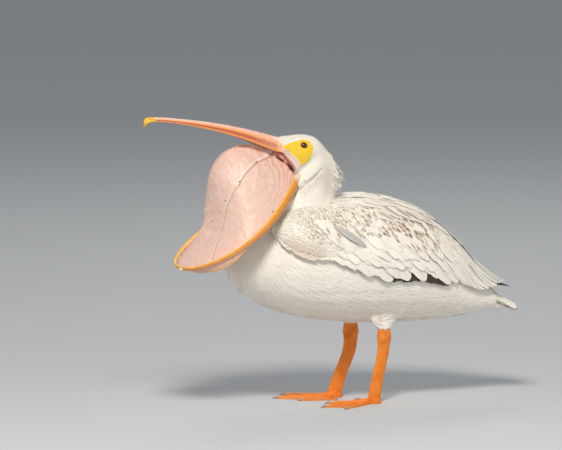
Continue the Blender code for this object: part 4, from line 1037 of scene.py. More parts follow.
def wing(side):
    rng = np.random.default_rng(40 + side)
    word = "left" if side > 0 else "right"
    radians = math.radians

    def jitter(values, amount):
        return values + rng.normal(0, amount, len(values))

    def whites(count, cream=0.15, grey=0.05):
        base = mixed(np.tile(WHITE, (count, 1)), CREAM, np.clip(rng.normal(cream, 0.08, count), 0, 1))
        return mixed(base, GREY, np.clip(rng.normal(grey, 0.05, count), 0, 1))

    # The hand's dark flight feathers, folded into a blade that ends over the rump
    count = 10
    share = np.linspace(0, 1, count)
    x, angle = 0.215 + 0.2 * share, np.radians(90 - 74 * share**1.4)
    dark = np.tile(DARK, (count, 1)) * rng.uniform(0.8, 1.6, (count, 1))
    lay_vanes(
        f"primaries_{word}", side, x, angle, np.radians(26 - 34 * share), np.full(count, 0.13), np.full(count,
        0.026), (np.full(count, 0.0028), 0.003 + 0.019 * share**3), wing_finish, vane_tints(dark, DARK,
        np.zeros(count)), seed=50, point=0.35,
    )
    # The forearm's dark flight feathers, seen between the white ones that hang over them
    count = 16
    share = np.linspace(0, 1, count)
    x = 0.095 + 0.16 * share
    angle = np.radians(feather_edge(x)[:, 0] - 1.6 + rng.normal(0, 0.7, count))
    dark = np.tile(DARK, (count, 1)) * rng.uniform(0.8, 1.8, (count, 1))
    lay_vanes(
        f"secondaries_{word}", side, x, angle, np.radians(52 - 24 * share), np.full(count, 0.07), np.full(count,
        0.034), (np.full(count, 0.0036), np.full(count, 0.0044)), wing_finish, vane_tints(dark, DARK,
        np.zeros(count), np.array((0.16, 0.06, 0.03))), seed=51, tilt=0.0016, bend=radians(8),
    )
    # The long white feathers that hang over them, with frayed round ends and gaps between
    places = np.array(HANGING)
    count = len(places)
    x, back = jitter(places[:, 0], 0.001), places[:, 1]
    angle = np.radians(feather_edge(x)[:, 0] - 0.5 - back)
    lay_vanes(
        f"hanging_{word}", side, x, angle, jitter(np.radians(58 - 60 * (x + 0.03)), 0.03), np.full(count, 0.128),
        rng.uniform(0.036, 0.043, count), (np.full(count, 0.006), rng.uniform(0.006, 0.0084, count)), wing_finish,
        vane_tints(whites(count, 0.06, 0.04), GREY, np.full(count, 0.16)), seed=52, tilt=0.0042, bend=radians(10),
        ragged=0.05, point=0.12, stations=FRAYED_STATIONS, columns=9,
    )
    # Tertials, the long inner feathers that close the wing over the rump
    count = 11
    share = np.linspace(0, 1, count)
    x = 0.302 + 0.1 * share
    angle = np.radians(np.interp(x, (0.302, 0.32, 0.34, 0.36, 0.375, 0.39, 0.402), (87, 84, 78, 64, 48, 31, 14)))
    tips = 0.0084 + 0.0205 * share**1.4
    lay_vanes(
        f"tertials_{word}", side, x, angle, jitter(np.radians(29 - 26 * share), 0.03), np.full(count, 0.165),
        rng.uniform(0.032, 0.04, count), (np.full(count, 0.008), tips), wing_finish, vane_tints(whites(count,
        0.1, 0.2), GREY, np.full(count, 0.45), WHITE * 1.06), seed=53, tilt=0.005, bend=radians(4), point=0.25,
        ragged=0.05,
    )
    # Greater coverts
    count = 17
    share = np.linspace(0, 1, count)
    x = jitter(-0.022 + 0.312 * share, 0.004)
    headings = jitter(np.radians(57 - 17 * share), 0.06)
    back = rng.uniform(0.026, 0.046, count)
    x, angle = walk(x, np.radians(feather_edge(x)[:, 0]), headings + math.pi, back)
    lay_vanes(
        f"greater_coverts_{word}", side, x, angle, headings, np.full(count, 0.082), rng.uniform(0.028, 0.037,
        count), (np.full(count, 0.0095), rng.uniform(0.0095, 0.0125, count)), wing_finish, vane_tints(whites(count,
        0.08), BROWN, spot_strength(x, angle, 0.01), None, 0.2, 0.74), seed=54, tilt=0.0036, bend=radians(6),
        ragged=0.06, point=0.4, stations=FRAYED_STATIONS,
    )
    # Median coverts, two rows, the first ones that carry brown streaks
    for row, (back, length) in enumerate(((0.058, 0.06), (0.08, 0.052))):
        count = 22
        share = np.linspace(0, 1, count)
        x = jitter(0.012 + 0.263 * share, 0.004)
        headings = jitter(np.radians(54 - 15 * share), 0.06)
        steps = back + rng.normal(0, 0.004, count)
        x, angle = walk(x, np.radians(feather_edge(x)[:, 0]), headings + math.pi, steps)
        base = np.zeros(count) + 0.0002 + 0.001 * row
        lay_vanes(
            f"median_coverts_{row}_{word}", side, x, angle, headings, np.full(count, length), rng.uniform(0.018,
            0.025, count), (base - 0.002, base + rng.uniform(0.0002, 0.0018, count)), wing_finish,
            vane_tints(whites(count, 0.1), BROWN, 1.9 * spot_strength(x, angle, 0.014), None, 0.3, 0.64),
            seed=55 + row, tilt=0.003, ragged=0.06, point=0.45, cover=cover_lift,
        )
    # The down under the small coverts, as one thin closed layer
    xs = np.linspace(-0.163, 0.296, 150)[:, None]
    edge = feather_edge(xs[:, 0])[:, :1]
    top = wing_top(xs[:, 0])[:, :1] + 1.5 + (14 - wing_top(xs[:, 0])[:, :1]) * ease((xs - 0.17) / 0.05)
    low = wing_low(xs[:, 0])[:, :1] - 1.5
    low = low + (edge - 37 - low) * ease(xs / 0.03)
    angles = np.radians(top + (low - top) * np.linspace(0, 1, 56)[None])
    xs = np.broadcast_to(xs, angles.shape)
    level = cover_lift(xs, angles)
    nets = [on_side(body_point(xs, angles, level - depth), side) for depth in (0.0011, 0.0018)]
    down = closed_net(f"wing_down_{word}", *nets)
    attach_colours(down, np.tile(WHITE * 0.94, (len(down.data.vertices), 1)))
    spots = skin_unwrap(np.concatenate([net.reshape(-1, 3) for net in nets]))
    corners = np.empty(len(down.data.loops), np.int32)
    down.data.loops.foreach_get("vertex_index", corners)
    down.data.uv_layers.new(name="OFBake").data.foreach_set("uv", spots[corners].astype(np.float32).ravel())
    for polygon in down.data.polygons:
        polygon.use_smooth = True
    finish_piece(down, skin_finish, "wing_feather", WING_NODES[side])
    # Lesser coverts, hundreds of small feathers over the arm's pad, smallest along its front edge
    tries = 17000
    pad_x = rng.uniform(-0.167, 0.3, tries)
    top = np.where(pad_x < 0.2, wing_top(pad_x)[:, 0], 14.0)
    low = np.where(pad_x < 0.02, wing_low(pad_x)[:, 0] + 1, feather_edge(pad_x)[:, 0] - 34)
    pad_a = np.radians(top - 2 + (low - top + 4) * rng.random(tries))
    spots = body_surface(pad_x, pad_a)
    spacing = 0.0043 + 0.005 * ease((pad_x + 0.14) / 0.25)
    grid, kept = {}, []
    for k, p in enumerate(spots):
        home = tuple((p // COVERT_CELL).astype(int).tolist())
        near = [(home[0] + i, home[1] + j, home[2] + h) for i, j, h in CELL_STEPS]
        if all(((p - q) ** 2).sum() > spacing[k] ** 2 for cell in near for q in grid.get(cell, ())):
            grid.setdefault(home, []).append(p)
            kept.append(k)
    x, angle = pad_x[kept], pad_a[kept]
    share = ease((x + 0.165) / 0.3)
    high = np.degrees(angle) / 90
    # Along the pad's lower edge they lie with the edge, down round its front and then tailwards
    edge_x = np.clip(x, -0.16, 0.04)
    slope = (wing_low(edge_x + 0.006)[:, 0] - wing_low(edge_x - 0.006)[:, 0]) / 0.012
    along_edge = np.arctan2(np.radians(slope) * 0.125, 1.0) + radians(4)
    down_pad = (np.degrees(angle) - wing_top(x)[:, 0]) / (wing_low(x)[:, 0] - wing_top(x)[:, 0])
    near_edge = ease((down_pad - 0.62) / 0.3) * (1 - ease((x + 0.02) / 0.05))
    headings = np.radians(14 + 34 * ease(high * 1.5) - 8 * share)
    headings = jitter(headings + (along_edge - headings) * near_edge, 0.1)
    lengths = 0.0135 + 0.0165 * share
    tip_x, tip_a = walk(x, angle, headings, lengths * 0.5)
    over_edge = (np.degrees(tip_a) > wing_low(tip_x)[:, 0] + 3) & (tip_x < -0.02)
    inside = (tip_x < 0.312) & (tip_a > radians(9)) & ~over_edge
    x, angle, headings, lengths, tip_x, tip_a = (v[inside] for v in (x, angle, headings, lengths, tip_x, tip_a))
    count = len(x)
    lifts = (np.full(count, -0.0012), rng.uniform(0.0004, 0.0009, count))
    brown = spot_strength(tip_x, tip_a, 0.02) * rng.uniform(0.6, 2.6, count)
    brown = brown * (rng.random(count) < 0.82)
    tan = near_edge[inside] ** 2 * ease((tip_x + 0.15) / 0.02) * (1 - ease((tip_x + 0.07) / 0.03))
    half = (count + 1) // 2
    for part, chosen in enumerate((slice(0, half), slice(half, count))):
        lay_vanes(
            f"lesser_coverts_{part}_{word}", side, tip_x[chosen], tip_a[chosen], headings[chosen], lengths[chosen],
            lengths[chosen] * 0.4, (lifts[0][chosen], lifts[1][chosen]), wing_finish,
            vane_tints(mixed(whites(count, 0.16, 0.04), TAN, 0.42 * tan)[chosen], BROWN, brown[chosen], None, 0.52,
            0.42), seed=60 + part, tilt=0.0004, stations=COVERT_STATIONS, columns=5, crown=0.0004, ragged=0.05,
            point=0.45, cover=cover_lift,
        )
    # Scapulars, pointed feathers from the shoulder over the wing's upper edge
    for row, (first, span, high, size) in enumerate(
        ((0.12, 0.215, 47, 0.095), (0.085, 0.205, 34, 0.075), (0.06, 0.205, 24, 0.055))
    ):
        count = 14
        share = np.linspace(0, 1, count)
        x = jitter(first + span * share, 0.004)
        angle = np.radians(jitter(high - (high - 16) * 0.75 * share, 1.5))
        base = 0.0016 + 0.0008 * row + 0.003 * share
        lay_vanes(
            f"scapulars_{row}_{word}", side, x, angle, jitter(np.radians(26 - 14 * share), 0.07), np.full(count,
            size), size * rng.uniform(0.22, 0.28, count), (base - 0.003, base + rng.uniform(0.0, 0.001, count)),
            wing_finish, vane_tints(whites(count, 0.16, 0.06), BROWN, 0.8 * spot_strength(x, angle, 0.015)),
            seed=70 + row, tilt=0.0016, ragged=0.06, point=0.75, cover=cover_lift, crown=0.0008,
        )
    # Small scapulars that bridge the groove between the back and the wing's upper edge
    share = np.tile(np.linspace(0, 1, 15), 2)
    outer = np.repeat((1.0, 0.0), 15)
    x = jitter(0.002 + 0.11 * share - 0.006 * outer, 0.002)
    angle = np.radians(np.maximum(jitter(wing_top(x)[:, 0] - 2.5 + 5.5 * outer, 0.6), 4.0))
    sizes = 0.04 + 0.01 * outer
    lay_vanes(
        f"bridging_scapulars_{word}", side, x, angle, jitter(np.radians(26 + 8 * outer), 0.05), sizes,
        sizes * rng.uniform(0.28, 0.34, len(x)), (np.full(len(x), -0.001), rng.uniform(0.0008, 0.0016, len(x))),
        wing_finish, vane_tints(whites(len(x), 0.12, 0.04), GREY, np.full(len(x), 0.06)), seed=76, tilt=0.0012,
        ragged=0.06, point=0.6, cover=cover_lift, crown=0.0006,
    )


for side in (1, -1):
    wing(side)

# One grey covert that has slipped out of its row lies across the left wing
slipped = np.array([0.0387])
lay_vanes(
    "slipped_covert", 1, slipped, np.radians([73.5]), np.radians([30.0]), np.array([0.086]), np.array([0.017]),
    (np.array([0.0045]), np.array([0.0078])), wing_finish, vane_tints(np.array([[0.52, 0.49, 0.46]]), GREY,
    np.array([0.3]), WHITE * 0.8), seed=80, tilt=0.003, point=0.85, cover=cover_lift,
)


# The tail: a short fan of stiff white feathers, the middle pair uppermost, rooted under the rump's coverts.

TAIL_ROOT = (0.352, 0.0, 0.2435)
TAIL_SLOPE = math.radians(24)
TAIL_LENGTH = 0.104
TAIL_FEATHERS = 22
TAIL_SPREAD = math.radians(50)

rng = np.random.default_rng(90)
tail_along = np.array([math.cos(TAIL_SLOPE), 0, -math.sin(TAIL_SLOPE)])
tail_up = np.array([math.sin(TAIL_SLOPE), 0, math.cos(TAIL_SLOPE)])
tail_side = np.array([0.0, 1.0, 0.0])
order = (np.arange(TAIL_FEATHERS) + 0.5) / TAIL_FEATHERS * 2 - 1
swing = order * TAIL_SPREAD / 2 + rng.normal(0, 0.015, TAIL_FEATHERS)
ways = np.outer(np.cos(swing), tail_along) + np.outer(np.sin(swing), tail_side)
crosses = np.outer(np.cos(swing), tail_side) - np.outer(np.sin(swing), tail_along)
lengths = TAIL_LENGTH * (1 - 0.16 * order**2) * rng.uniform(0.96, 1.0, TAIL_FEATHERS)
roots = np.array(TAIL_ROOT) + np.outer(order * 0.016, tail_side) - np.outer(0.0066 * np.abs(order), tail_up)
shares, across, level, along, sideways = vane_places(VANE_STATIONS, 7)
half = 0.0125 * vane_width(shares, 0.25)[None, :, None] * (1 + 0.05 * rng.normal(0, 1, (TAIL_FEATHERS, 12, 1)))
middles = roots[:, None] + ways[:, None] * (lengths[:, None] * shares)[..., None]
middles -= tail_up * (0.003 * shares**2)[None, :, None]
lean = -0.0011 * np.sign(order)[:, None, None] * across[None, None]
rise = lean + 0.001 * (1 - across**2) + VANE_THICK * level
rings = middles[:, :, None] - crosses[:, None, None] * (half * across)[..., None] + tail_up * rise[..., None]
base = mixed(np.tile(WHITE, (TAIL_FEATHERS, 1)), CREAM, rng.uniform(0.05, 0.3, TAIL_FEATHERS))
tail = ring_mesh(
    "tail_feathers",
    rings + NAPE_ROW,
    roots + NAPE_ROW,
    roots + ways * lengths[:, None] - tail_up * 0.003 + NAPE_ROW,
    vane_tints(base, GREY, np.full(TAIL_FEATHERS, 0.15))(along, sideways),
    along,
    sideways,
    skin_unwrap(roots + NAPE_ROW),
    flipped=True,
)
finish_piece(tail, wing_finish, "white_feather", "tail")


# Long soft coverts wrap the tail's root above and below, so that rump and tail run out in one blunt wedge
WEDGE = (
    (0.3, 0.008, 0.06), (0.33, 0.0085, 0.056), (0.356, 0.0075, 0.048), (0.38, 0.007, 0.035),
    (0.404, 0.0062, 0.02), (0.428, 0.0048, 0.0078), (0.446, 0.0016, 0.002), (0.465, 0.0008, 0.0008),
)  # x, and how far the wedge reaches above and below the tail's plane
wedge = smooth_line(WEDGE)
for word, level, ends_x, size in (
    ("under", -1, (0.38, 0.391, 0.402, 0.412, 0.422, 0.432, 0.441), 0.058),
    ("upper", 1, (0.388, 0.402, 0.416, 0.428, 0.438), 0.046),
):
    rng = np.random.default_rng(91 + level)
    in_row = 15
    place = np.tile(np.linspace(-0.97, 0.97, in_row), len(ends_x)) + rng.normal(0, 0.03, in_row * len(ends_x))
    place = np.clip(place, -1, 1)
    last = np.repeat(ends_x, in_row) - 0.01 * place**2 + rng.normal(0, 0.002, len(place))
    count = len(place)
    lengths = size * rng.uniform(0.88, 1.08, count)
    shares, across, level_round, along, sideways = vane_places(COVERT_STATIONS, 5)

    def on_wedge(along_x, beside, off):
        """A point of the wedge's surface: x, share of its half width, and how far off the surface."""
        rows = wedge(along_x)
        deep = rows[..., 0] if level > 0 else rows[..., 1]
        half_width = 0.034 + 0.012 * ease((along_x - 0.39) / 0.06)
        up = level * (deep * np.sqrt(np.clip(1 - 0.93 * beside**2, 0.02, 1)) + off)
        plane = TAIL_ROOT[2] - (along_x - TAIL_ROOT[0]) * math.tan(TAIL_SLOPE) - 0.0085 * beside**2
        return np.stack([along_x + up * tail_up[0], beside * half_width, plane + up * tail_up[2]], -1)

    half = 0.0072 * vane_width(shares, 0.55)[None, :, None] * (1 + 0.05 * rng.normal(0, 1, (count, len(shares), 1)))
    off = -0.0035 + 0.005 * shares + 0.0006 * rng.random((count, 1))
    spread = place[:, None, None] + half * across / 0.038
    rise = off[:, :, None] + 0.0007 * (1 - across**2) + VANE_THICK * level_round
    along_x = last[:, None] - lengths[:, None] * math.cos(TAIL_SLOPE) * (1 - shares)
    rings = on_wedge(along_x[..., None] + 0 * rise, np.clip(spread, -1.04, 1.04), rise)
    starts = on_wedge(last - lengths * math.cos(TAIL_SLOPE), place, -0.0035)
    ends = on_wedge(last, place, off[:, -1])
    base = mixed(np.tile(WHITE, (count, 1)), CREAM, rng.uniform(0.0, 0.3, count))
    coverts = ring_mesh(
        f"tail_coverts_{word}",
        rings + NAPE_ROW,
        starts + NAPE_ROW,
        ends + NAPE_ROW,
        vane_tints(base, GREY, np.full(count, 0.1))(along, sideways),
        along,
        sideways,
        skin_unwrap(starts + NAPE_ROW),
        flipped=level < 0,
    )
    finish_piece(coverts, body_finish, "white_feather", "tail")


# The bare face: thin yellow skin round the eye, a pale strip below it, and the gape's rim, which rolls inwards.
# It is one thin sheet on each cheek, creased round the eye and towards the bill, tucked under the feathers.

HEAD_FORM = (
    (0.012, 0.584, 0.568, 0.006), (0.022, 0.595, 0.561, 0.018), (0.036, 0.606, 0.555, 0.026),
    (0.055, 0.6175, 0.549, 0.032), (0.075, 0.623, 0.541, 0.035), (0.095, 0.6242, 0.531, 0.0365),
    (0.11, 0.6238, 0.525, 0.0365), (0.122, 0.623, 0.541, 0.034), (0.136, 0.6218, 0.572, 0.029),
    (0.1485, 0.6205, 0.5865, 0.0245),
)  # forward, top, bottom and half width
FACE_STEP = 0.0007
LID_RADIUS = 0.0073
head_rows = smooth_line(HEAD_FORM)


def head_side(forward, height):
    """How far the head's side stands out at a place, and whether the place lies on the head at all."""
    rows = head_rows(forward)
    middle, tall = (rows[..., 0] + rows[..., 1]) / 2, (rows[..., 0] - rows[..., 1]) / 2
    up = (height - middle) / tall
    on_head = np.abs(up) < 0.985
    up = np.clip(up, -0.985, 0.985)
    cosine = up
    for _ in range(4):
        cosine = np.clip(up / (1 - 0.1 * (1 - cosine**2)), -1, 1)
    return rows[..., 2] * np.sqrt(1 - cosine**2) * (1 + 0.06 * cosine**2), on_head


def creases(forward, height):
    """Folds of the bare skin, up to 1 high: rings round the eye and streaks towards the bill."""
    u, v = forward - EYE[0], height - EYE[2]
    away = np.hypot(u, v)
    points = np.stack([forward, height, 0 * forward], -1)
    warp, fine = noise_at(points, 190.0, 3), noise_at(points, 480.0, 5)
    rings_round = np.sin(away / 0.003 * 2 * math.pi + 2.2 * warp) * np.exp(-((away - 0.0105) / 0.006) ** 2)
    across_streak = u * 0.45 + v * 0.89
    streaks = np.sin(across_streak / 0.0042 * 2 * math.pi + 5.5 * warp) * ease((away - 0.011) / 0.006)
    return 0.45 * rings_round + 0.3 * streaks + 0.65 * fine


def face_patch(side):
    forward, height = np.meshgrid(
        np.arange(0.064, 0.16, FACE_STEP), np.arange(0.516, 0.617, FACE_STEP), indexing="ij"
    )
    out, on_head = head_side(forward, height)
    in_front, strip = gape_depth(forward, height)
    patch = np.where(height > 0.54, inside_polygon(forward, height, YELLOW_PATCH), -1)
    inside = np.maximum(patch, np.minimum(strip, 0.0095 - in_front))
    folds = creases(forward, height)
    away = np.hypot((forward - LIDS[0]) / LIDS[2], (height - LIDS[1]) / LIDS[3])
    roll = bell((in_front + 0.0014) / 0.0013) * ease((0.6 - height) / 0.008)
    out = out - 0.0002 + 0.0007 * folds * ease(patch / 0.002 + 1) + 0.0016 * roll
    out = out - 0.007 * ease(in_front / 0.004)
    out = out - 0.0022 * (1 - ease((inside + 0.0022) / 0.0022))
    out = out - 0.0055 * (1 - ease((away - 0.006) / 0.0018))
    wanted = on_head & (inside > -0.0022) & ((height < 0.6) | (patch > -0.0022)) & (forward < 0.152)
    points = head_point(forward, side * out, height) + NAPE_ROW
    base = mixed(WHITE, STRIP_PALE, ease(strip / 0.003 + 0.5))
    colours = mixed(base, YELLOW, ease(patch / 0.0014 + 0.5))
    # Painted shade in the troughs of the skin's folds and painted highlight on their crests
    crease_shade = np.clip(-folds, 0, 1) * ease(patch / 0.0014 + 0.5)
    ridge = np.clip(folds, 0, 1) * ease(patch / 0.0014 + 0.5)
    colours = mixed(colours, np.array((0.74, 0.36, 0.01)), 0.7 * crease_shade)
    colours = mixed(colours, np.array((0.94, 0.72, 0.14)), 0.6 * ridge)
    colours = mixed(colours, np.array((0.6, 0.13, 0.01)), 0.75 * (1 - ease((away - 0.0078) / 0.0018)))
    colours = mixed(colours, GAPE_PINK, ease((in_front - 0.0006) / 0.0025))
    # Painted shade in the mouth's slits
    colours = mixed(colours, SLIT_SHADE * 0.5, 0.95 * slit_depth(forward, height) * ease((in_front - 0.0006) / 0.001))
    pinkish = ease((strip - 0.001) / 0.003) * ease((-0.003 - in_front) / 0.003) * (patch < 0)
    colours = mixed(colours, np.array((0.8, 0.52, 0.44)), 0.5 * pinkish * np.clip(0.6 + folds, 0, 1))
    colours = mixed(colours, np.array((0.93, 0.8, 0.68)), roll * 0.9)
    index = np.arange(forward.size).reshape(forward.shape)
    quads = np.stack([index[:-1, :-1], index[1:, :-1], index[1:, 1:], index[:-1, 1:]], -1).reshape(-1, 4)
    quads = quads[wanted.ravel()[quads].all(-1)]
    if side < 0:
        quads = quads[:, ::-1]
    used, renumbered = np.unique(quads, return_inverse=True)
    word = "left" if side > 0 else "right"
    sheet = mesh_from_arrays(f"face_{word}", points.reshape(-1, 3)[used], renumbered.reshape(-1, 4))
    attach_colours(sheet, colours.reshape(-1, 3)[used])
    thick = sheet.modifiers.new("thick", "SOLIDIFY")
    thick.thickness = 0.0012
    thick.offset = -1
    pick(sheet)
    bpy.ops.object.modifier_apply(modifier="thick")
    bpy.ops.object.shade_smooth()
    finish_piece(sheet, face_finish, "bill_horn", "head")
    return sheet


def lid(side):
    """The rim of skin round one eye, thicker above, red at its inner edge."""
    around, about = 72, 14
    a = np.arange(around)[:, None] * 2 * math.pi / around
    b = np.arange(about)[None, :] * 2 * math.pi / about
    above = 0.5 + 0.5 * np.sin(a)
    thick = 0.0011 + 0.0005 * above + 0.00012 * np.sin(7 * a)
    reach = LID_RADIUS + thick * np.cos(b)
    forward = LIDS[0] + reach * np.cos(a) * LIDS[2]
    height = LIDS[1] + reach * np.sin(a) * LIDS[3]
    out, _ = head_side(LIDS[0] + LID_RADIUS * np.cos(a), LIDS[1] + LID_RADIUS * np.sin(a))
    out = out - 0.0004 + 0.0006 * above + thick * np.sin(b)
    points = head_point(forward, side * out, height) + NAPE_ROW
    index = np.arange(around * about).reshape(around, about)
    after, over = np.roll(index, -1, axis=0), np.roll(index, -1, axis=1)
    both = np.roll(after, -1, axis=1)
    quads = np.stack([index, after, both, over], -1).reshape(-1, 4)
    word = "left" if side > 0 else "right"
    ring = mesh_from_arrays(f"lid_{word}", points.reshape(-1, 3), quads[:, ::-1] if side < 0 else quads)
    inner = ease((-np.cos(b) + 0.15) / 0.7) + 0 * a
    colours = mixed(np.array((0.88, 0.46, 0.012)), np.array((0.42, 0.055, 0.012)), inner)
    attach_colours(ring, colours.reshape(-1, 3))
    faces_outwards(ring)
    for polygon in ring.data.polygons:
        polygon.use_smooth = True
    finish_piece(ring, face_finish, "bill_horn", "head")


def laid_on(tree, kind, **feeds):
    """A texture that lies on the piece's own coordinates."""
    spot = add_node(tree, "TexCoord", {})
    return add_node(tree, kind, {"Vector": spot.outputs["Object"], **feeds})


def emboss(tree, shader, height, strength, distance):
    """Raises and sinks a finish by a socket."""
    bump = add_node(tree, "Bump", {"Height": height, "Strength": strength, "Distance": distance})
    tree.links.new(bump.outputs["Normal"], shader.inputs["Normal"])


face_finish, tree, shader, tint = tinted_material(
    "bare_skin", 0.46, Subsurface_Weight=0.06, Subsurface_Scale=0.002, Specular_IOR_Level=0.22
)
emboss(tree, shader, laid_on(tree, "TexNoise", Scale=900, Detail=3).outputs["Fac"], 0.35, 0.0006)
for side in (1, -1):
    face_patch(side)
    lid(side)


# The eyes: moist, almost black balls, a very dark brown iris round a black pupil.

eye_finish = tinted_material("eye", 0.03, IOR=1.38, Coat_Weight=1.0, Coat_Roughness=0.02)[0]
for word, side in (("left", 1), ("right", -1)):
    centre = head_point(EYE[0], side * EYE[1], EYE[2])
    bpy.ops.mesh.primitive_uv_sphere_add(segments=64, ring_count=40, radius=EYE_RADIUS)
    eye = bpy.context.object
    eye.name = f"eyeball_{word}"
    gaze = head_point(0.0, side, 0.0)
    turn = Vector(gaze).to_track_quat("Z", "Y").to_matrix().to_4x4()
    turn.translation = Vector(centre + NAPE_ROW)
    eye.data.transform(turn)
    places, _ = vertex_places(eye)
    off = np.degrees(np.arccos(np.clip(unit(places - centre - NAPE_ROW) @ gaze, -1, 1)))
    colours = mixed(np.array((0.003, 0.003, 0.003)), np.array((0.05, 0.024, 0.014)), ease((off - 20) / 3))
    colours = mixed(colours, np.array((0.012, 0.006, 0.005)), ease((off - 36) / 8))
    attach_colours(eye, colours)
    bpy.ops.object.shade_smooth()
    finish_piece(eye, eye_finish, "eye", f"eye_{word}")


# The upper bill: one long flat roof of horn with a middle ridge, a groove on each side of it and side plates.
# A hooked yellow nail ends it. It is pale pink on top, then striped yellow and dark red, with an orange edge.

BILL = (
    (0.142, 0.618, 0.585, 0.024), (0.1489, 0.62, 0.587, 0.024), (0.165, 0.625, 0.591, 0.0228),
    (0.2, 0.635, 0.6045, 0.02), (0.25, 0.648, 0.624, 0.0175), (0.3, 0.659, 0.64, 0.0155),
    (0.353, 0.6685, 0.6535, 0.0147), (0.4, 0.6755, 0.664, 0.015), (0.446, 0.6815, 0.6723, 0.0155),
    (0.472, 0.6835, 0.6752, 0.014),
)  # forward, top, bottom and half width
NAIL = (
    (0.472, 0.67935, 0.00415, 0.014), (0.484, 0.6795, 0.0046, 0.0108), (0.4925, 0.677, 0.005, 0.0076),
    (0.4975, 0.6715, 0.0048, 0.0048), (0.4975, 0.666, 0.0026, 0.0026), (0.4955, 0.663, 0.0006, 0.0008),
)  # forward, middle height, half height and half width
BILL_OUTLINE = (
    (0.0, 1.0), (0.16, 0.98), (0.28, 0.88), (0.36, 0.66), (0.42, 0.59), (0.52, 0.64), (0.68, 0.58), (0.84, 0.44),
    (0.95, 0.28), (1.0, 0.12), (0.985, 0.01), (0.93, -0.01), (0.86, 0.06), (0.66, 0.15), (0.45, 0.19),
    (0.22, 0.15), (0.1, 0.17),
)  # half of the section, sideways and up, down to the palate's middle


def loft(name, rings, start=None, end=None):
    """A closed skin through rings of like points, drawn to a point at either end where one is given."""
    rings = np.asarray(rings, float)
    count, size = rings.shape[:2]
    points = rings.reshape(-1, 3)
    index = np.arange(count * size).reshape(count, size)
    after = np.roll(index, -1, axis=1)
    a, b, c, d = index[:-1], after[:-1], after[1:], index[1:]
    faces = [np.stack([a, b, c], -1).reshape(-1, 3), np.stack([a, c, d], -1).reshape(-1, 3)]
    caps = [rings[0].mean(0) if start is None else start, rings[-1].mean(0) if end is None else end]
    first, last = count * size, count * size + 1
    faces.append(np.stack([np.full(size, first), after[0], index[0]], -1))
    faces.append(np.stack([index[-1], after[-1], np.full(size, last)], -1))
    made = mesh_from_arrays(name, np.concatenate([points, caps]), np.concatenate(faces))
    faces_outwards(made)
    pick(made)
    bpy.ops.object.shade_smooth_by_angle(angle=math.radians(50))
    return made


right_half = np.array(BILL_OUTLINE)
section = np.concatenate([right_half, [(0.0, 0.21)], (right_half * (-1, 1))[:0:-1]])
bill_rows, nail_rows = smooth_line(BILL), smooth_line(np.column_stack([np.linspace(0, 1, len(NAIL)), NAIL]))
rings, tones = [], []
rng = np.random.default_rng(95)
ORANGE_EDGE = np.array((0.84, 0.31, 0.08))
MAROON = np.array((0.46, 0.105, 0.06))
STRIPE = np.array((0.9, 0.38, 0.03))
TOP_PINK = np.array((0.82, 0.46, 0.34))
PALATE = np.array((0.74, 0.42, 0.3))
streak = rng.normal(0, 1, len(section))


def bill_tones(forward, s, u, outside):
    """The bill's stripes along its side, from its place forward and across the section."""
    base = 1 - ease((forward - 0.155) / 0.085)
    tones = np.tile(TOP_PINK, (len(s), 1))
    tones = mixed(tones, np.array((0.87, 0.58, 0.45)), 0.5 * ease((forward - 0.26) / 0.1) * (np.abs(s) < 0.3))
    stripe = ease((np.abs(s) - 0.44) / 0.06) * ease((u - 0.42) / 0.05)
    tones = mixed(tones, mixed(STRIPE, np.array((0.82, 0.4, 0.2)), base), stripe)
    tones = mixed(tones, MAROON, ease((0.48 - u) / 0.05) * (np.abs(s) > 0.7) * outside * (1 - 0.35 * base))
    tones = mixed(tones, ORANGE_EDGE, ease((0.24 - u) / 0.07) * (np.abs(s) > 0.8) * outside)
    orange_root = 0.8 * (1 - ease((forward - 0.152) / 0.014)) * ease((0.8 - u) / 0.1)
    pale_root = 0.85 * (1 - ease((forward - 0.15) / 0.02)) * ease((u - 0.72) / 0.1)
    tones = mixed(tones, np.array((0.88, 0.52, 0.26)), orange_root)
    tones = mixed(tones, np.array((0.9, 0.68, 0.56)), pale_root)
    return np.where(outside[:, None] > 0, tones, PALATE)


outside = np.concatenate([np.arange(17) < 11, [False], (np.arange(17) < 11)[:0:-1]]).astype(float)
for forward in np.linspace(BILL[0][0], BILL[-1][0], 110):
    top, bottom, half = bill_rows(forward)
    wrinkle = 0.0006 * (1 - ease((forward - 0.15) / 0.06)) * np.sin(forward * 2100 + 3 * section[:, 0])
    edge_wear = 0.00025 * np.sin(forward * 700 + streak)
    height = bottom + section[:, 1] * (top - bottom) + wrinkle * (section[:, 1] > 0.4) + edge_wear
    rings.append(head_point(forward, section[:, 0] * half, height))
    tone = bill_tones(forward, section[:, 0], section[:, 1], outside)
    lined = 1 + 0.05 * streak[:, None] + 0.05 * rng.normal(0, 1, (len(section), 1))
    tones.append(np.clip(tone * lined, 0, 1))
for share in np.linspace(0.04, 1, 26):
    forward, middle, tall, half = nail_rows(share)
    height = middle + (section[:, 1] * 2 - 1) * tall
    rings.append(head_point(forward + (section[:, 1] - 0.5) * 0.004 * (1 - share), section[:, 0] * half, height))
    nail_tone = mixed(np.array((0.88, 0.46, 0.02)), np.array((0.8, 0.36, 0.012)), rng.random(len(section)) * 0.5)
    tones.append(mixed(tones[109], nail_tone, np.full(len(section), ease((share + 0.02) / 0.1))))
upper_bill = loft("upper_bill_horn", np.array(rings) + NAPE_ROW, None, head_point(0.4945, 0, 0.6615) + NAPE_ROW)
attach_colours(upper_bill, np.concatenate([*tones, [PALATE], [STRIPE]]))
horn_finish, tree, shader, tint = tinted_material(
    "horn", 0.34, Subsurface_Weight=0.06, Subsurface_Scale=0.002, Specular_IOR_Level=0.35
)
emboss(tree, shader, laid_on(tree, "TexNoise", Scale=320, Detail=4).outputs["Fac"], 0.3, 0.0005)
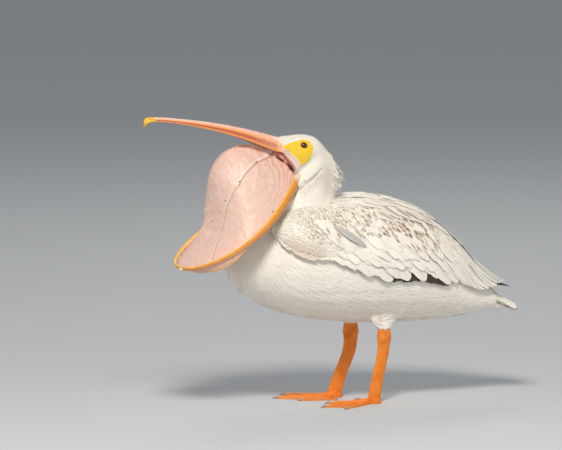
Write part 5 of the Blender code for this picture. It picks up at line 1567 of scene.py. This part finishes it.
finish_piece(upper_bill, horn_finish, "bill_horn", "upper_bill")


# The lower bill: two thin springy bows of horn, joined at the tip, spread wide and sagging under the pouch.

JAW = (0.117, 0.5276)
HOOP_SLOPE = math.radians(34.5)
HOOP = (
    (-0.014, 0.027), (0.004, 0.035), (0.05, 0.059), (0.1, 0.08), (0.15, 0.094), (0.2, 0.1),
    (0.25, 0.0975), (0.296, 0.083), (0.326, 0.057), (0.339, 0.0295), (0.342, 0.0),
)  # along the hoop and sideways from its middle
HOOP_SAG = 0.01
HOOP_ROLL = 0.05
BOW_HALF = 0.0028
BOW_TOP = 0.0031
BOW_DEPTH_JAW = 0.0168
BOW_DEPTH_TIP = 0.0072


def hoop_frame(along, side, up):
    """From lengths in the hoop's sloping plane to the bird's frame. The left bow hangs a little lower."""
    up = up - HOOP_ROLL * side * np.sin(math.pi * np.clip(np.asarray(along) / HOOP[-1][0], 0, 1))
    forward = JAW[0] + along * math.cos(HOOP_SLOPE) + up * math.sin(HOOP_SLOPE)
    height = JAW[1] - along * math.sin(HOOP_SLOPE) + up * math.cos(HOOP_SLOPE)
    return head_point(forward, side, height)


def hoop_line(count, start=0.0, stop=1.0):
    """Even points of the left bow over a stretch of its length, and the outward direction at each."""
    rows = np.array(HOOP)
    index = np.arange(len(rows))
    curve = smooth_line(np.column_stack([index, rows]))
    fine = curve(np.linspace(0, index[-1], 400))
    lengths = np.concatenate([[0], np.cumsum(np.linalg.norm(np.diff(fine, axis=0), axis=1))])
    wanted = np.linspace(start * lengths[-1], stop * lengths[-1], count)
    points = np.column_stack([np.interp(wanted, lengths, fine[:, k]) for k in (0, 1)])
    ways = unit(np.gradient(points, axis=0))
    if stop == 1.0:
        ways[-1] = (0, -1)
    return points, np.column_stack([-ways[:, 1], ways[:, 0]])


def sag(along):
    return -HOOP_SAG * np.sin(math.pi * np.clip(along / HOOP[-1][0], 0, 1))


BOW_SECTION = (
    (1.0, -0.3, 0), (0.98, 0.2, 0), (0.8, 0.72, 1), (0.35, 1.0, 1), (-0.25, 0.98, 1), (-0.8, 0.7, 1),
    (-1.0, 0.1, 2), (-1.0, -0.35, 2), (-0.8, -0.75, 2), (-0.2, -1.0, 3), (0.45, -0.97, 3), (0.86, -0.8, 3),
    (0.8, -0.62, 4), (0.93, -0.5, 5),
)  # outwards, up or down, and the band of colour
BOW_TONES = np.array(
    (
        (0.8, 0.3, 0.05),
        (0.9, 0.5, 0.07),
        (0.88, 0.6, 0.28),
        (0.76, 0.34, 0.1),
        (0.46, 0.13, 0.03),
        (0.84, 0.37, 0.08),
    )
)
bow_points, outwards = hoop_line(90)
share = np.linspace(0, 1, len(bow_points))
deep = BOW_DEPTH_JAW + (BOW_DEPTH_TIP - BOW_DEPTH_JAW) * ease(share * 1.15)
deep = deep * (0.45 + 0.55 * ease(share / 0.09))
section = np.array(BOW_SECTION)
rings, tones = [], []
rng = np.random.default_rng(96)
for k, ((along_bow, aside_bow), out, depth_here) in enumerate(zip(bow_points, outwards, deep)):
    reach = section[:, 0] * BOW_HALF * (0.7 + 0.3 * ease(share[k] / 0.1))
    up = np.where(section[:, 1] > 0, section[:, 1] * BOW_TOP, section[:, 1] * depth_here)
    rings.append(np.stack([along_bow + out[0] * reach, aside_bow + out[1] * reach, sag(along_bow) + up], -1))
    tone = BOW_TONES[section[:, 2].astype(int)]
    pink = mixed(tone, np.array((0.8, 0.5, 0.38)), 0.45 * ease((share[k] - 0.45) / 0.2) * (section[:, 2] >= 4))
    pink = mixed(pink, STRIP_PALE, np.full(len(section), 0.9 * (1 - ease((share[k] - 0.03) / 0.035))))
    tones.append(np.clip(pink * (1 + 0.07 * rng.normal(0, 1, (len(section), 1))), 0, 1))
rings = np.array([*rings, *[ring * (1, -1, 1) for ring in rings[-2::-1]]])
tones = np.array([*tones, *tones[-2::-1]])
rings = hoop_frame(rings[..., 0], rings[..., 1], rings[..., 2]) + NAPE_ROW
lower_bill = loft("lower_bill_bows", rings)
attach_colours(lower_bill, np.concatenate([tones.reshape(-1, 3), tones[0, :1], tones[0, :1]]))


def blob(name, centre, radii, tone, turn=None):
    """A small rounded lump, centred in the bird's own frame."""
    bpy.ops.mesh.primitive_uv_sphere_add(segments=24, ring_count=16, radius=1)
    lump = bpy.context.object
    lump.name = name
    lump.data.transform(Matrix.Diagonal((*radii, 1)))
    if turn is not None:
        lump.data.transform(turn.to_4x4())
    lump.data.transform(Matrix.Translation(Vector(centre) + NAPE))
    bpy.ops.object.shade_smooth()
    attach_colours(lump, np.tile(tone, (len(lump.data.vertices), 1)))
    return lump


knob_place = hoop_frame(HOOP[-1][0] + 0.003, 0, -0.002)
knob = blob("lower_bill_knob", knob_place, (0.0065, 0.0052, 0.0048), (0.86, 0.66, 0.42))
for piece in (lower_bill, knob):
    finish_piece(piece, horn_finish, "bill_horn", "lower_bill")


# The pouch: bare elastic skin hung between the bows, here pushed up over the neck into a tall dome.
# Its middle seam stands out as a pale cord, and fine wrinkles run from the jaw's corners and up the front.

RIDGE = (
    (-0.012, 0.058), (0.006, 0.08), (0.022, 0.1035), (0.042, 0.128), (0.065, 0.1435), (0.094, 0.149),
    (0.138, 0.135), (0.178, 0.089), (0.211, 0.044), (0.234, 0.025), (0.292, 0.01), (0.342, 0.0),
)  # the ridge's height over the hoop, by distance along it
MOUTH_RETREAT = 0.014
POUCH_START = 0.045
RIDGE_LEAN = 0.24
POUCH_THICK = 0.0014
POUCH_FOLD = 0.018
POUCH_DROP = 0.0085
FLAT_STRIP = 0.26
POUCH_ROWS, POUCH_LANES = 190, 150
SEAM = (
    (0.0, -0.09), (0.03, -0.04), (0.095, 0.22), (0.17, 0.38), (0.25, 0.45), (0.34, 0.45), (0.42, 0.37),
    (0.5, 0.27), (0.56, 0.24), (0.63, 0.33), (0.7, 0.55), (0.777, 0.87), (0.8, 0.97), (1.0, 1.6),
)  # where the seam runs: share of the pouch's length, and across from the right edge to the left
SPECKS = ((0.168, 0.39), (0.328, 0.465), (0.451, 0.26), (0.544, -0.175), (0.05, 0.915), (0.293, 0.985))
ridge_rows, seam_rows = smooth_line(RIDGE), smooth_line(SEAM)
rim_points, rim_out = hoop_line(POUCH_ROWS, POUCH_START, 0.9985)
rim_points = rim_points - rim_out * (BOW_HALF * 0.6)
share = np.linspace(0, 1, POUCH_ROWS)[:, None]
across = np.sin(np.linspace(-math.pi / 2, math.pi / 2, POUCH_LANES) * 0.92)[None] / math.sin(math.pi / 2 * 0.92)
dome = ease(share / 0.26)
width = across + RIDGE_LEAN * dome * (1 - across**2)
# Along the far bow's front half the skin lies flat before it rises into the dome
flat = 1 - FLAT_STRIP * ease((share - 0.46) / 0.14)
width = np.clip(np.where(width < 0, -width / flat, width), 0, 1)
tent = np.clip(1 - width, 0, 1) ** 1.2
arch = np.clip(1 - width**2.3, 0, 1) ** 0.78
line = rim_points[:, :1] - MOUTH_RETREAT * (1 - ease(share / 0.35)) * (1 - across**2)
drop = POUCH_DROP * ease((share - 0.35) / 0.25) * np.clip((1 - share) / 0.1, 0, 1) * np.abs(across) ** 8
rise = ridge_rows(line)[..., 0] * (tent + (arch - tent) * dome) + sag(line) - drop
sheet = np.stack([line, across * rim_points[:, 1:], rise], -1)
along_way, across_way = np.gradient(sheet, axis=0), np.gradient(sheet, axis=1)
sheet_up = unit(np.cross(along_way, across_way))
sheet_up *= np.sign(sheet_up[..., 2:3] + 1e-9)
broad, middle_noise, fine_noise = (noise_at(sheet, *row) for row in ((30.0, 21), (85.0, 22), (230.0, 23)))
# Wrinkles fan out from the jaw's corners over the first third, and stand up along the front of the dome
corner_way = np.arctan2(np.clip(rise - sag(line), 0, 1), np.abs(1 - np.abs(across)) * 0.09 + 0.02)
fan = np.sin(corner_way * 46 + 2.2 * middle_noise) * bell(share / 0.3) * ease((1 - np.abs(across)) / 0.06)
front = np.sin((across * 0.09 + 0.01 * broad) / 0.0058 * 2 * math.pi) * bell((share - 0.56) / 0.09)
front = front * ease((0.35 - across) / 0.5)
edge_wave = np.sin(share * 150 + 5 * broad) * bell((1 - np.abs(across)) / 0.05) * ease(share / 0.1)
seam_at = seam_rows(share[:, 0])[:, None, 0]
seam_off = (across - seam_at) * np.maximum(rim_points[:, 1:], 0.02)
seam_off = seam_off / np.sqrt(1 + (np.gradient(seam_at[:, 0])[:, None] * POUCH_ROWS * 0.25) ** 2)
cord = bell(seam_off / 0.0013) * ease((0.8 - share) / 0.04)
# A shallow groove beside the seam, darkened below by painted shade
seam_shade = bell((seam_off - 0.0022) / 0.001) * ease((0.8 - share) / 0.04)
inner_edge = ease((1 - np.abs(across)) / 0.04)
relief = 0.001 * fan + 0.0012 * front + 0.0006 * edge_wave + 0.001 * middle_noise + 0.00045 * fine_noise
relief = (relief + 0.0013 * cord - 0.0006 * seam_shade) * inner_edge
upper = sheet + sheet_up * relief[..., None]
fold = POUCH_FOLD * ease((share - 0.45) / 0.3) * np.clip(1 - share, 0, 0.25) * 4 * np.abs(across) ** 6
lower = upper - sheet_up * POUCH_THICK
lower[..., 2] -= fold

PINK = np.array((0.83, 0.56, 0.465))
SALMON = np.array((0.82, 0.45, 0.345))
MAUVE = np.array((0.72, 0.52, 0.46))
BLUSH = np.array((0.88, 0.67, 0.58))
tones = mixed(PINK + 0 * sheet, SALMON, 0.55 * ease((0.16 - share) / 0.16) + 0 * across)
tones = mixed(tones, MAUVE, np.clip(0.25 + 0.5 * broad, 0, 0.6) * ease((share - 0.35) / 0.3))
tones = mixed(tones, BLUSH, np.clip(0.25 * middle_noise + 0.25 * broad, 0, 0.5))
veins, small_veins = bell(noise_at(sheet, 60.0, 25) / 0.035), bell(noise_at(sheet, 150.0, 26) / 0.06)
tones = mixed(tones, np.array((0.76, 0.34, 0.27)), 0.28 * veins + 0.22 * small_veins)
# Painted shade in the troughs of the wrinkles
tones = mixed(tones, SALMON * 0.8, np.clip(-fan, 0, 1) * 0.45 + np.clip(-front, 0, 1) * 0.4)
flat_band = ease((-across - 0.76) / 0.05) * ease((share - 0.42) / 0.08)
# A thin painted shadow along the flat band's fold
fold_shadow = bell((across + 0.76) / 0.022) * ease((share - 0.42) / 0.08) * ease((0.93 - share) / 0.05)
tones = mixed(tones, np.array((0.89, 0.64, 0.46)), 0.85 * flat_band)
tones = mixed(tones, np.array((0.55, 0.28, 0.18)), 0.6 * fold_shadow)
tones = mixed(tones, np.array((0.9, 0.79, 0.71)), 0.75 * cord)
# Painted shade in the groove beside the seam
tones = mixed(tones, np.array((0.42, 0.2, 0.14)), 0.75 * seam_shade)
under = mixed(np.array((0.78, 0.42, 0.1)) + 0 * sheet, np.array((0.62, 0.36, 0.2)), np.clip(0.5 + broad, 0, 1))

grids = [hoop_frame(g[..., 0], g[..., 1], g[..., 2]) + NAPE_ROW for g in (upper, lower)]
in_head = head_measures(grids[0].reshape(-1, 3) - NAPE_ROW)
in_slit = slit_depth(in_head[0], in_head[2]).reshape(broad.shape) * (in_head[1].reshape(broad.shape) > -0.004)
# Painted shade where the mouth's slits run onto the pouch
tones = mixed(tones, SLIT_SHADE * 0.5, 0.9 * in_slit)
count = POUCH_ROWS * POUCH_LANES
index = np.arange(count).reshape(POUCH_ROWS, POUCH_LANES)
top_quads = np.stack([index[:-1, :-1], index[:-1, 1:], index[1:, 1:], index[1:, :-1]], -1).reshape(-1, 4)
loop = np.concatenate([index[0, :-1], index[:-1, -1], index[-1, :0:-1], index[:0:-1, 0]])
following = np.roll(loop, -1)
walls = np.stack([following, loop, loop + count, following + count], -1)
pouch = mesh_from_arrays(
    "pouch_sheet",
    np.concatenate([g.reshape(-1, 3) for g in grids]),
    np.concatenate([top_quads, top_quads[:, ::-1] + count, walls]),
)
repaired = bmesh.new()
repaired.from_mesh(pouch.data)
bmesh.ops.recalc_face_normals(repaired, faces=repaired.faces)
repaired.to_mesh(pouch.data)
repaired.free()
attach_colours(pouch, np.concatenate([tones.reshape(-1, 3), under.reshape(-1, 3)]))
pick(pouch)
bpy.ops.object.shade_smooth_by_angle(angle=math.radians(50))
pouch_finish, tree, shader, tint = tinted_material(
    "pouch_skin", 0.42, Subsurface_Weight=0.3, Subsurface_Scale=0.004
)
shader.inputs["Subsurface Radius"].default_value = (1.0, 0.35, 0.22)
grain = laid_on(tree, "TexNoise", Scale=420, Detail=5, Distortion=0.6)
emboss(tree, shader, grain.outputs["Fac"], 0.45, 0.0007)
finish_piece(pouch, pouch_finish, "pouch_skin", "pouch")

# A few dark specks sit on the pouch and on the bows
speck_finish, _, _ = new_material("dark_speck", (0.035, 0.018, 0.014), 0.5)
for k, (speck_share, speck_across) in enumerate(SPECKS):
    i = int(round(speck_share * (POUCH_ROWS - 1)))
    j = int(np.abs(across[0] - speck_across).argmin())
    turn = Vector(hoop_frame(*sheet_up[i, j]) - hoop_frame(0.0, 0.0, 0.0)).to_track_quat("Z", "Y").to_matrix()
    speck = blob(f"speck_{k}", grids[0][i, j] - NAPE_ROW, (0.0021, 0.0017, 0.0007), (0, 0, 0), turn)
    finish_piece(speck, speck_finish, "pouch_skin", "pouch")


# The back of the open mouth: folded pink flesh between palate and pouch, with the gullet's cleft in painted shade.

THROAT = (0.1345, 0.562)
THROAT_SLOPE = math.radians(53)
THROAT_RADII = (0.006, 0.021, 0.039)
rows, lanes = 90, 120
tilt = np.linspace(0.02, math.pi - 0.02, rows)[:, None]
turn = np.linspace(0, 2 * math.pi, lanes, endpoint=False)[None]
thick, aside_, long_ = np.sin(tilt) * np.cos(turn), np.sin(tilt) * np.sin(turn), np.cos(tilt) + 0 * turn
ball_points = np.stack([thick, aside_, long_], -1)
lumps = noise_at(ball_points, 2.6, 31)
ripples = np.sin(long_ * 17 + 3.0 * lumps)
cleft = bell((long_ + 0.25 + 0.25 * np.abs(aside_)) / 0.1) * (thick > 0) * (np.abs(aside_) < 0.75)
puff = 1 + 0.22 * lumps + 0.14 * ripples - 0.85 * cleft
places = ball_points * np.array(THROAT_RADII) * np.stack([puff, 1 + 0 * puff, 1 + 0 * puff], -1)
forward = THROAT[0] + places[..., 2] * math.cos(THROAT_SLOPE) + places[..., 0] * math.sin(THROAT_SLOPE)
height = THROAT[1] + places[..., 2] * math.sin(THROAT_SLOPE) - places[..., 0] * math.cos(THROAT_SLOPE)
throat = loft("throat_flesh", head_point(forward, places[..., 1], height) + NAPE_ROW)
# Painted shade: deeper red in the troughs of the folds, near black in the gullet's cleft, dark in the mouth's slits
tones = mixed(GAPE_PINK + 0 * ball_points, np.array((0.62, 0.2, 0.16)), np.clip(0.4 - 0.6 * ripples, 0, 0.9))
tones = mixed(tones, np.array((0.1, 0.012, 0.01)), np.clip(cleft * 1.1, 0, 1))
tones = mixed(tones, SLIT_SHADE * 0.5, 0.95 * slit_depth(forward, height))
attach_colours(throat, np.concatenate([tones.reshape(-1, 3), tones[0, :1], tones[-1, :1]]))
wet_finish = tinted_material("wet_flesh", 0.28, Subsurface_Weight=0.15, Subsurface_Scale=0.003)[0]
finish_piece(throat, wet_finish, "pouch_skin", "throat")


# The legs: bare orange skin in small scales over bone and tendon, with a knobbly ankle under the feathers.
# Each foot has four long toes, all joined by a web, with scutes along the toes and a short horn claw on each.

LEGS = {
    "left": (16, ((0.01, 0.078), (0.046, 0.0844), (0.088, 0.0938), (0.118, 0.1), (0.15, 0.1025), (0.26, 0.096))),
    "right": (6, ((0.01, 0.024), (0.05, 0.037), (0.088, 0.053), (0.11, 0.0608), (0.14, 0.0638), (0.26, 0.06))),
}  # the foot's outward heading in degrees, and the leg's line as height and x
ANKLE = 0.152
LEG_APART = 0.064
TOES = ((24, 0.126), (0, 0.142), (-28, 0.108), (-78, 0.058))
WEB = 0.0024
HEEL = 0.015
TOE_RADIUS = 0.0055
ORANGE = np.array((0.94, 0.255, 0.022))
ORANGE_DEEP = np.array((0.62, 0.13, 0.01))
ORANGE_PALE = np.array((0.92, 0.33, 0.055))

leg_finish, tree, shader, tint = tinted_material(
    "leg_skin", 0.42, Subsurface_Weight=0.06, Subsurface_Scale=0.002, Specular_IOR_Level=0.3
)
scales = laid_on(tree, "TexVoronoi", Scale=400)
scales.feature = "DISTANCE_TO_EDGE"
groove = tree.nodes.new("ShaderNodeMapRange")
groove.inputs["From Max"].default_value = 0.12
tree.links.new(scales.outputs["Distance"], groove.inputs["Value"])
emboss(tree, shader, groove.outputs["Result"], 0.35, 0.0006)
shade = tree.nodes.new("ShaderNodeMapRange")
shade.inputs["To Min"].default_value = 0.82
shade.inputs["To Max"].default_value = 1.0
tree.links.new(groove.outputs["Result"], shade.inputs["Value"])
scale_tint(tree, shader, tint, shade.outputs["Result"])
claw_finish, _, _ = new_material("claw_horn", (0.46, 0.34, 0.24), 0.35)


def make_leg(word, side):
    heading_out, path = LEGS[word]
    leg_line = smooth_line(path)
    heading = math.pi - side * math.radians(heading_out)
    ahead = np.array([math.cos(heading), math.sin(heading), 0])
    beside = np.array([-ahead[1], ahead[0], 0])
    rng = np.random.default_rng(97 + side)

    heights = np.linspace(0.008, 0.185, 120)[:, None]
    turns = np.linspace(0, 2 * math.pi, 48, endpoint=False)[None]
    knob = bell((heights - ANKLE) / 0.013)
    low = bell((heights - 0.02) / 0.02)
    long_way = 0.0158 + 0.0026 * knob + 0.0012 * low
    wide_way = 0.0074 + 0.0026 * knob + 0.0022 * low
    # Tendons run down the back and the front, with a shallow hollow between them on each side
    ripple = 0.02 * np.sin(heights * 900) * np.abs(np.cos(turns)) ** 6
    hollow = 1 - 0.1 * np.abs(np.sin(turns)) ** 3 * (1 - knob) + ripple
    fold = 0.03 * np.sin(heights * 520 + 2 * np.sin(turns)) * bell((heights - ANKLE + 0.014) / 0.01)
    swell = hollow + fold
    centres = np.stack([leg_line(heights)[..., 0], side * LEG_APART + 0 * heights, heights], -1)
    shank_points = (
        centres
        + (np.cos(turns) * long_way * swell)[..., None] * ahead
        + (np.sin(turns) * wide_way * swell)[..., None] * beside
    )
    lumps = noise_at(shank_points, 60.0, 41)
    tones = mixed(ORANGE + 0 * shank_points, ORANGE_PALE, np.clip(0.35 * np.cos(turns) ** 4 + 0.5 * lumps, 0, 0.8))
    tones = mixed(tones, ORANGE_DEEP, np.clip(0.35 * knob - 0.6 * lumps, 0, 0.7) + 0 * turns)
    shank = loft(f"shank_skin_{word}", shank_points + NAPE_ROW)
    attach_colours(shank, np.concatenate([tones.reshape(-1, 3), tones[0, :1], tones[-1, :1]]))
    finish_piece(shank, leg_finish, "orange_skin", f"shank_{word}")

    centre = np.array([leg_line(0.022)[0], side * LEG_APART, 0])
    angles = np.radians(np.linspace(0, 360, 300, endpoint=False) - 180)
    shares = np.concatenate([np.linspace(0.04, 0.9, 44), np.linspace(0.915, 1.0, 10)])
    toe_ways = np.radians([t for t, _ in TOES])
    toe_lengths = np.array([length for _, length in TOES])
    order = np.argsort(toe_ways)
    rim = np.full(len(angles), HEEL)
    for a, b in zip(order, order[1:]):
        part = (angles - toe_ways[a]) / (toe_ways[b] - toe_ways[a])
        scallop = 0.16 * np.sin(math.pi * np.clip(part, 0, 1)) * (toe_lengths[a] + toe_lengths[b]) / 2
        reach = toe_lengths[a] + (toe_lengths[b] - toe_lengths[a]) * part - scallop
        rim = np.where((part >= 0) & (part <= 1), reach, rim)
    for k, outer in ((order[0], -1), (order[-1], 1)):
        past = (angles - toe_ways[k]) * outer
        fade = HEEL + (toe_lengths[k] - HEEL) * np.sqrt(np.clip(1 - (past * toe_lengths[k] / 0.007) ** 2, 0, 1))
        rim = np.where((past > 0) & (past < 0.7), np.maximum(rim, fade), rim)
    rim = np.convolve(np.concatenate([rim[-2:], rim, rim[:2]]), [0.1, 0.2, 0.4, 0.2, 0.1], "valid")
    reach = rim[None] * shares[:, None]
    rise = np.full(reach.shape, WEB)
    on_toe = np.zeros(reach.shape)
    for way, length in zip(toe_ways, toe_lengths):
        turned = np.abs((angles - way + math.pi) % (2 * math.pi) - math.pi)[None]
        off = turned * reach
        knuckles = 1 + 0.1 * np.sin(reach / length * 3 * 2 * math.pi)
        thick = TOE_RADIUS * (1.25 - 0.55 * reach / length) * knuckles * (reach <= length * 1.001)
        scutes = 0.00022 * np.sin(reach / 0.0034 * 2 * math.pi)
        ridge = bell(off / (TOE_RADIUS * 0.8)) * (turned < 1.2)
        rise = np.maximum(rise, WEB * 0.75 + (thick + scutes) * ridge)
        on_toe = np.maximum(on_toe, ridge)
    web = np.stack([np.cos(angles) * reach, np.sin(angles) * reach, 0 * reach], -1)
    web_wave = 0.0005 * noise_at(web, 90.0, 43)
    rise = rise + (web_wave + 0.00025 * np.sin(angles[None] * 60)) * (1 - on_toe)
    rise = rise + 0.013 * bell(reach / 0.02)
    rise = rise * np.sqrt(np.clip(1.02 - ((shares - 0.9) / 0.1).clip(0, 1) ** 2, 0, 1))[:, None]
    ways = heading - side * angles
    flat = np.stack([np.cos(ways) * reach, np.sin(ways) * reach, 0 * reach], -1)
    top = centre + flat + rise[..., None] * (0, 0, 1)
    bottom = centre + flat[::-1][::6] + (0, 0, 0.0001)
    foot = loft(
        f"foot_skin_{word}", np.concatenate([top, bottom]) + NAPE_ROW, centre + (0, 0, 0.02) + NAPE_ROW,
        centre + NAPE_ROW,
    )
    lumps = noise_at(top, 45.0, 44)
    tones = mixed(ORANGE + 0 * top, ORANGE_PALE, np.clip(0.3 + 0.5 * lumps, 0, 0.7) * on_toe)
    tones = mixed(tones, ORANGE_DEEP, np.clip(0.3 - 0.5 * lumps, 0, 0.6) * (1 - on_toe))
    under = np.tile(ORANGE_DEEP, (bottom.shape[0] * bottom.shape[1], 1))
    attach_colours(foot, np.concatenate([tones.reshape(-1, 3), under, tones[0, :1], under[:1]]))
    finish_piece(foot, leg_finish, "orange_skin", f"foot_{word}")

    for k, (toe, length) in enumerate(TOES):
        way = heading - side * math.radians(toe)
        along_toe = np.array([math.cos(way), math.sin(way), 0])
        across_toe = np.array([-along_toe[1], along_toe[0], 0])
        turns_round = np.linspace(0, 2 * math.pi, 14, endpoint=False)
        rings = []
        for part in np.linspace(0, 0.94, 10):
            radius = 0.0029 * math.sqrt(1 - part**1.8) + 0.0002
            middle = centre + along_toe * (length - 0.007 + 0.016 * part)
            middle = middle + np.array([0, 0, 0.0046 - 0.003 * part**2])
            rings.append(
                middle + np.outer(np.cos(turns_round) * radius * 0.8, across_toe)
                + np.outer(np.sin(turns_round) * radius, (0, 0, 1))
            )
        rings = np.array(rings)
        rings[..., 2] = np.maximum(rings[..., 2], 0.0002)
        tip = centre + along_toe * (length + 0.0092) + (0, 0, 0.0012)
        claw = loft(f"claw_{word}_{k}", rings + NAPE_ROW, None, tip + NAPE_ROW)
        finish_piece(claw, claw_finish, "orange_skin", f"foot_{word}")


for word, side in (("left", -1), ("right", 1)):
    make_leg(word, side)
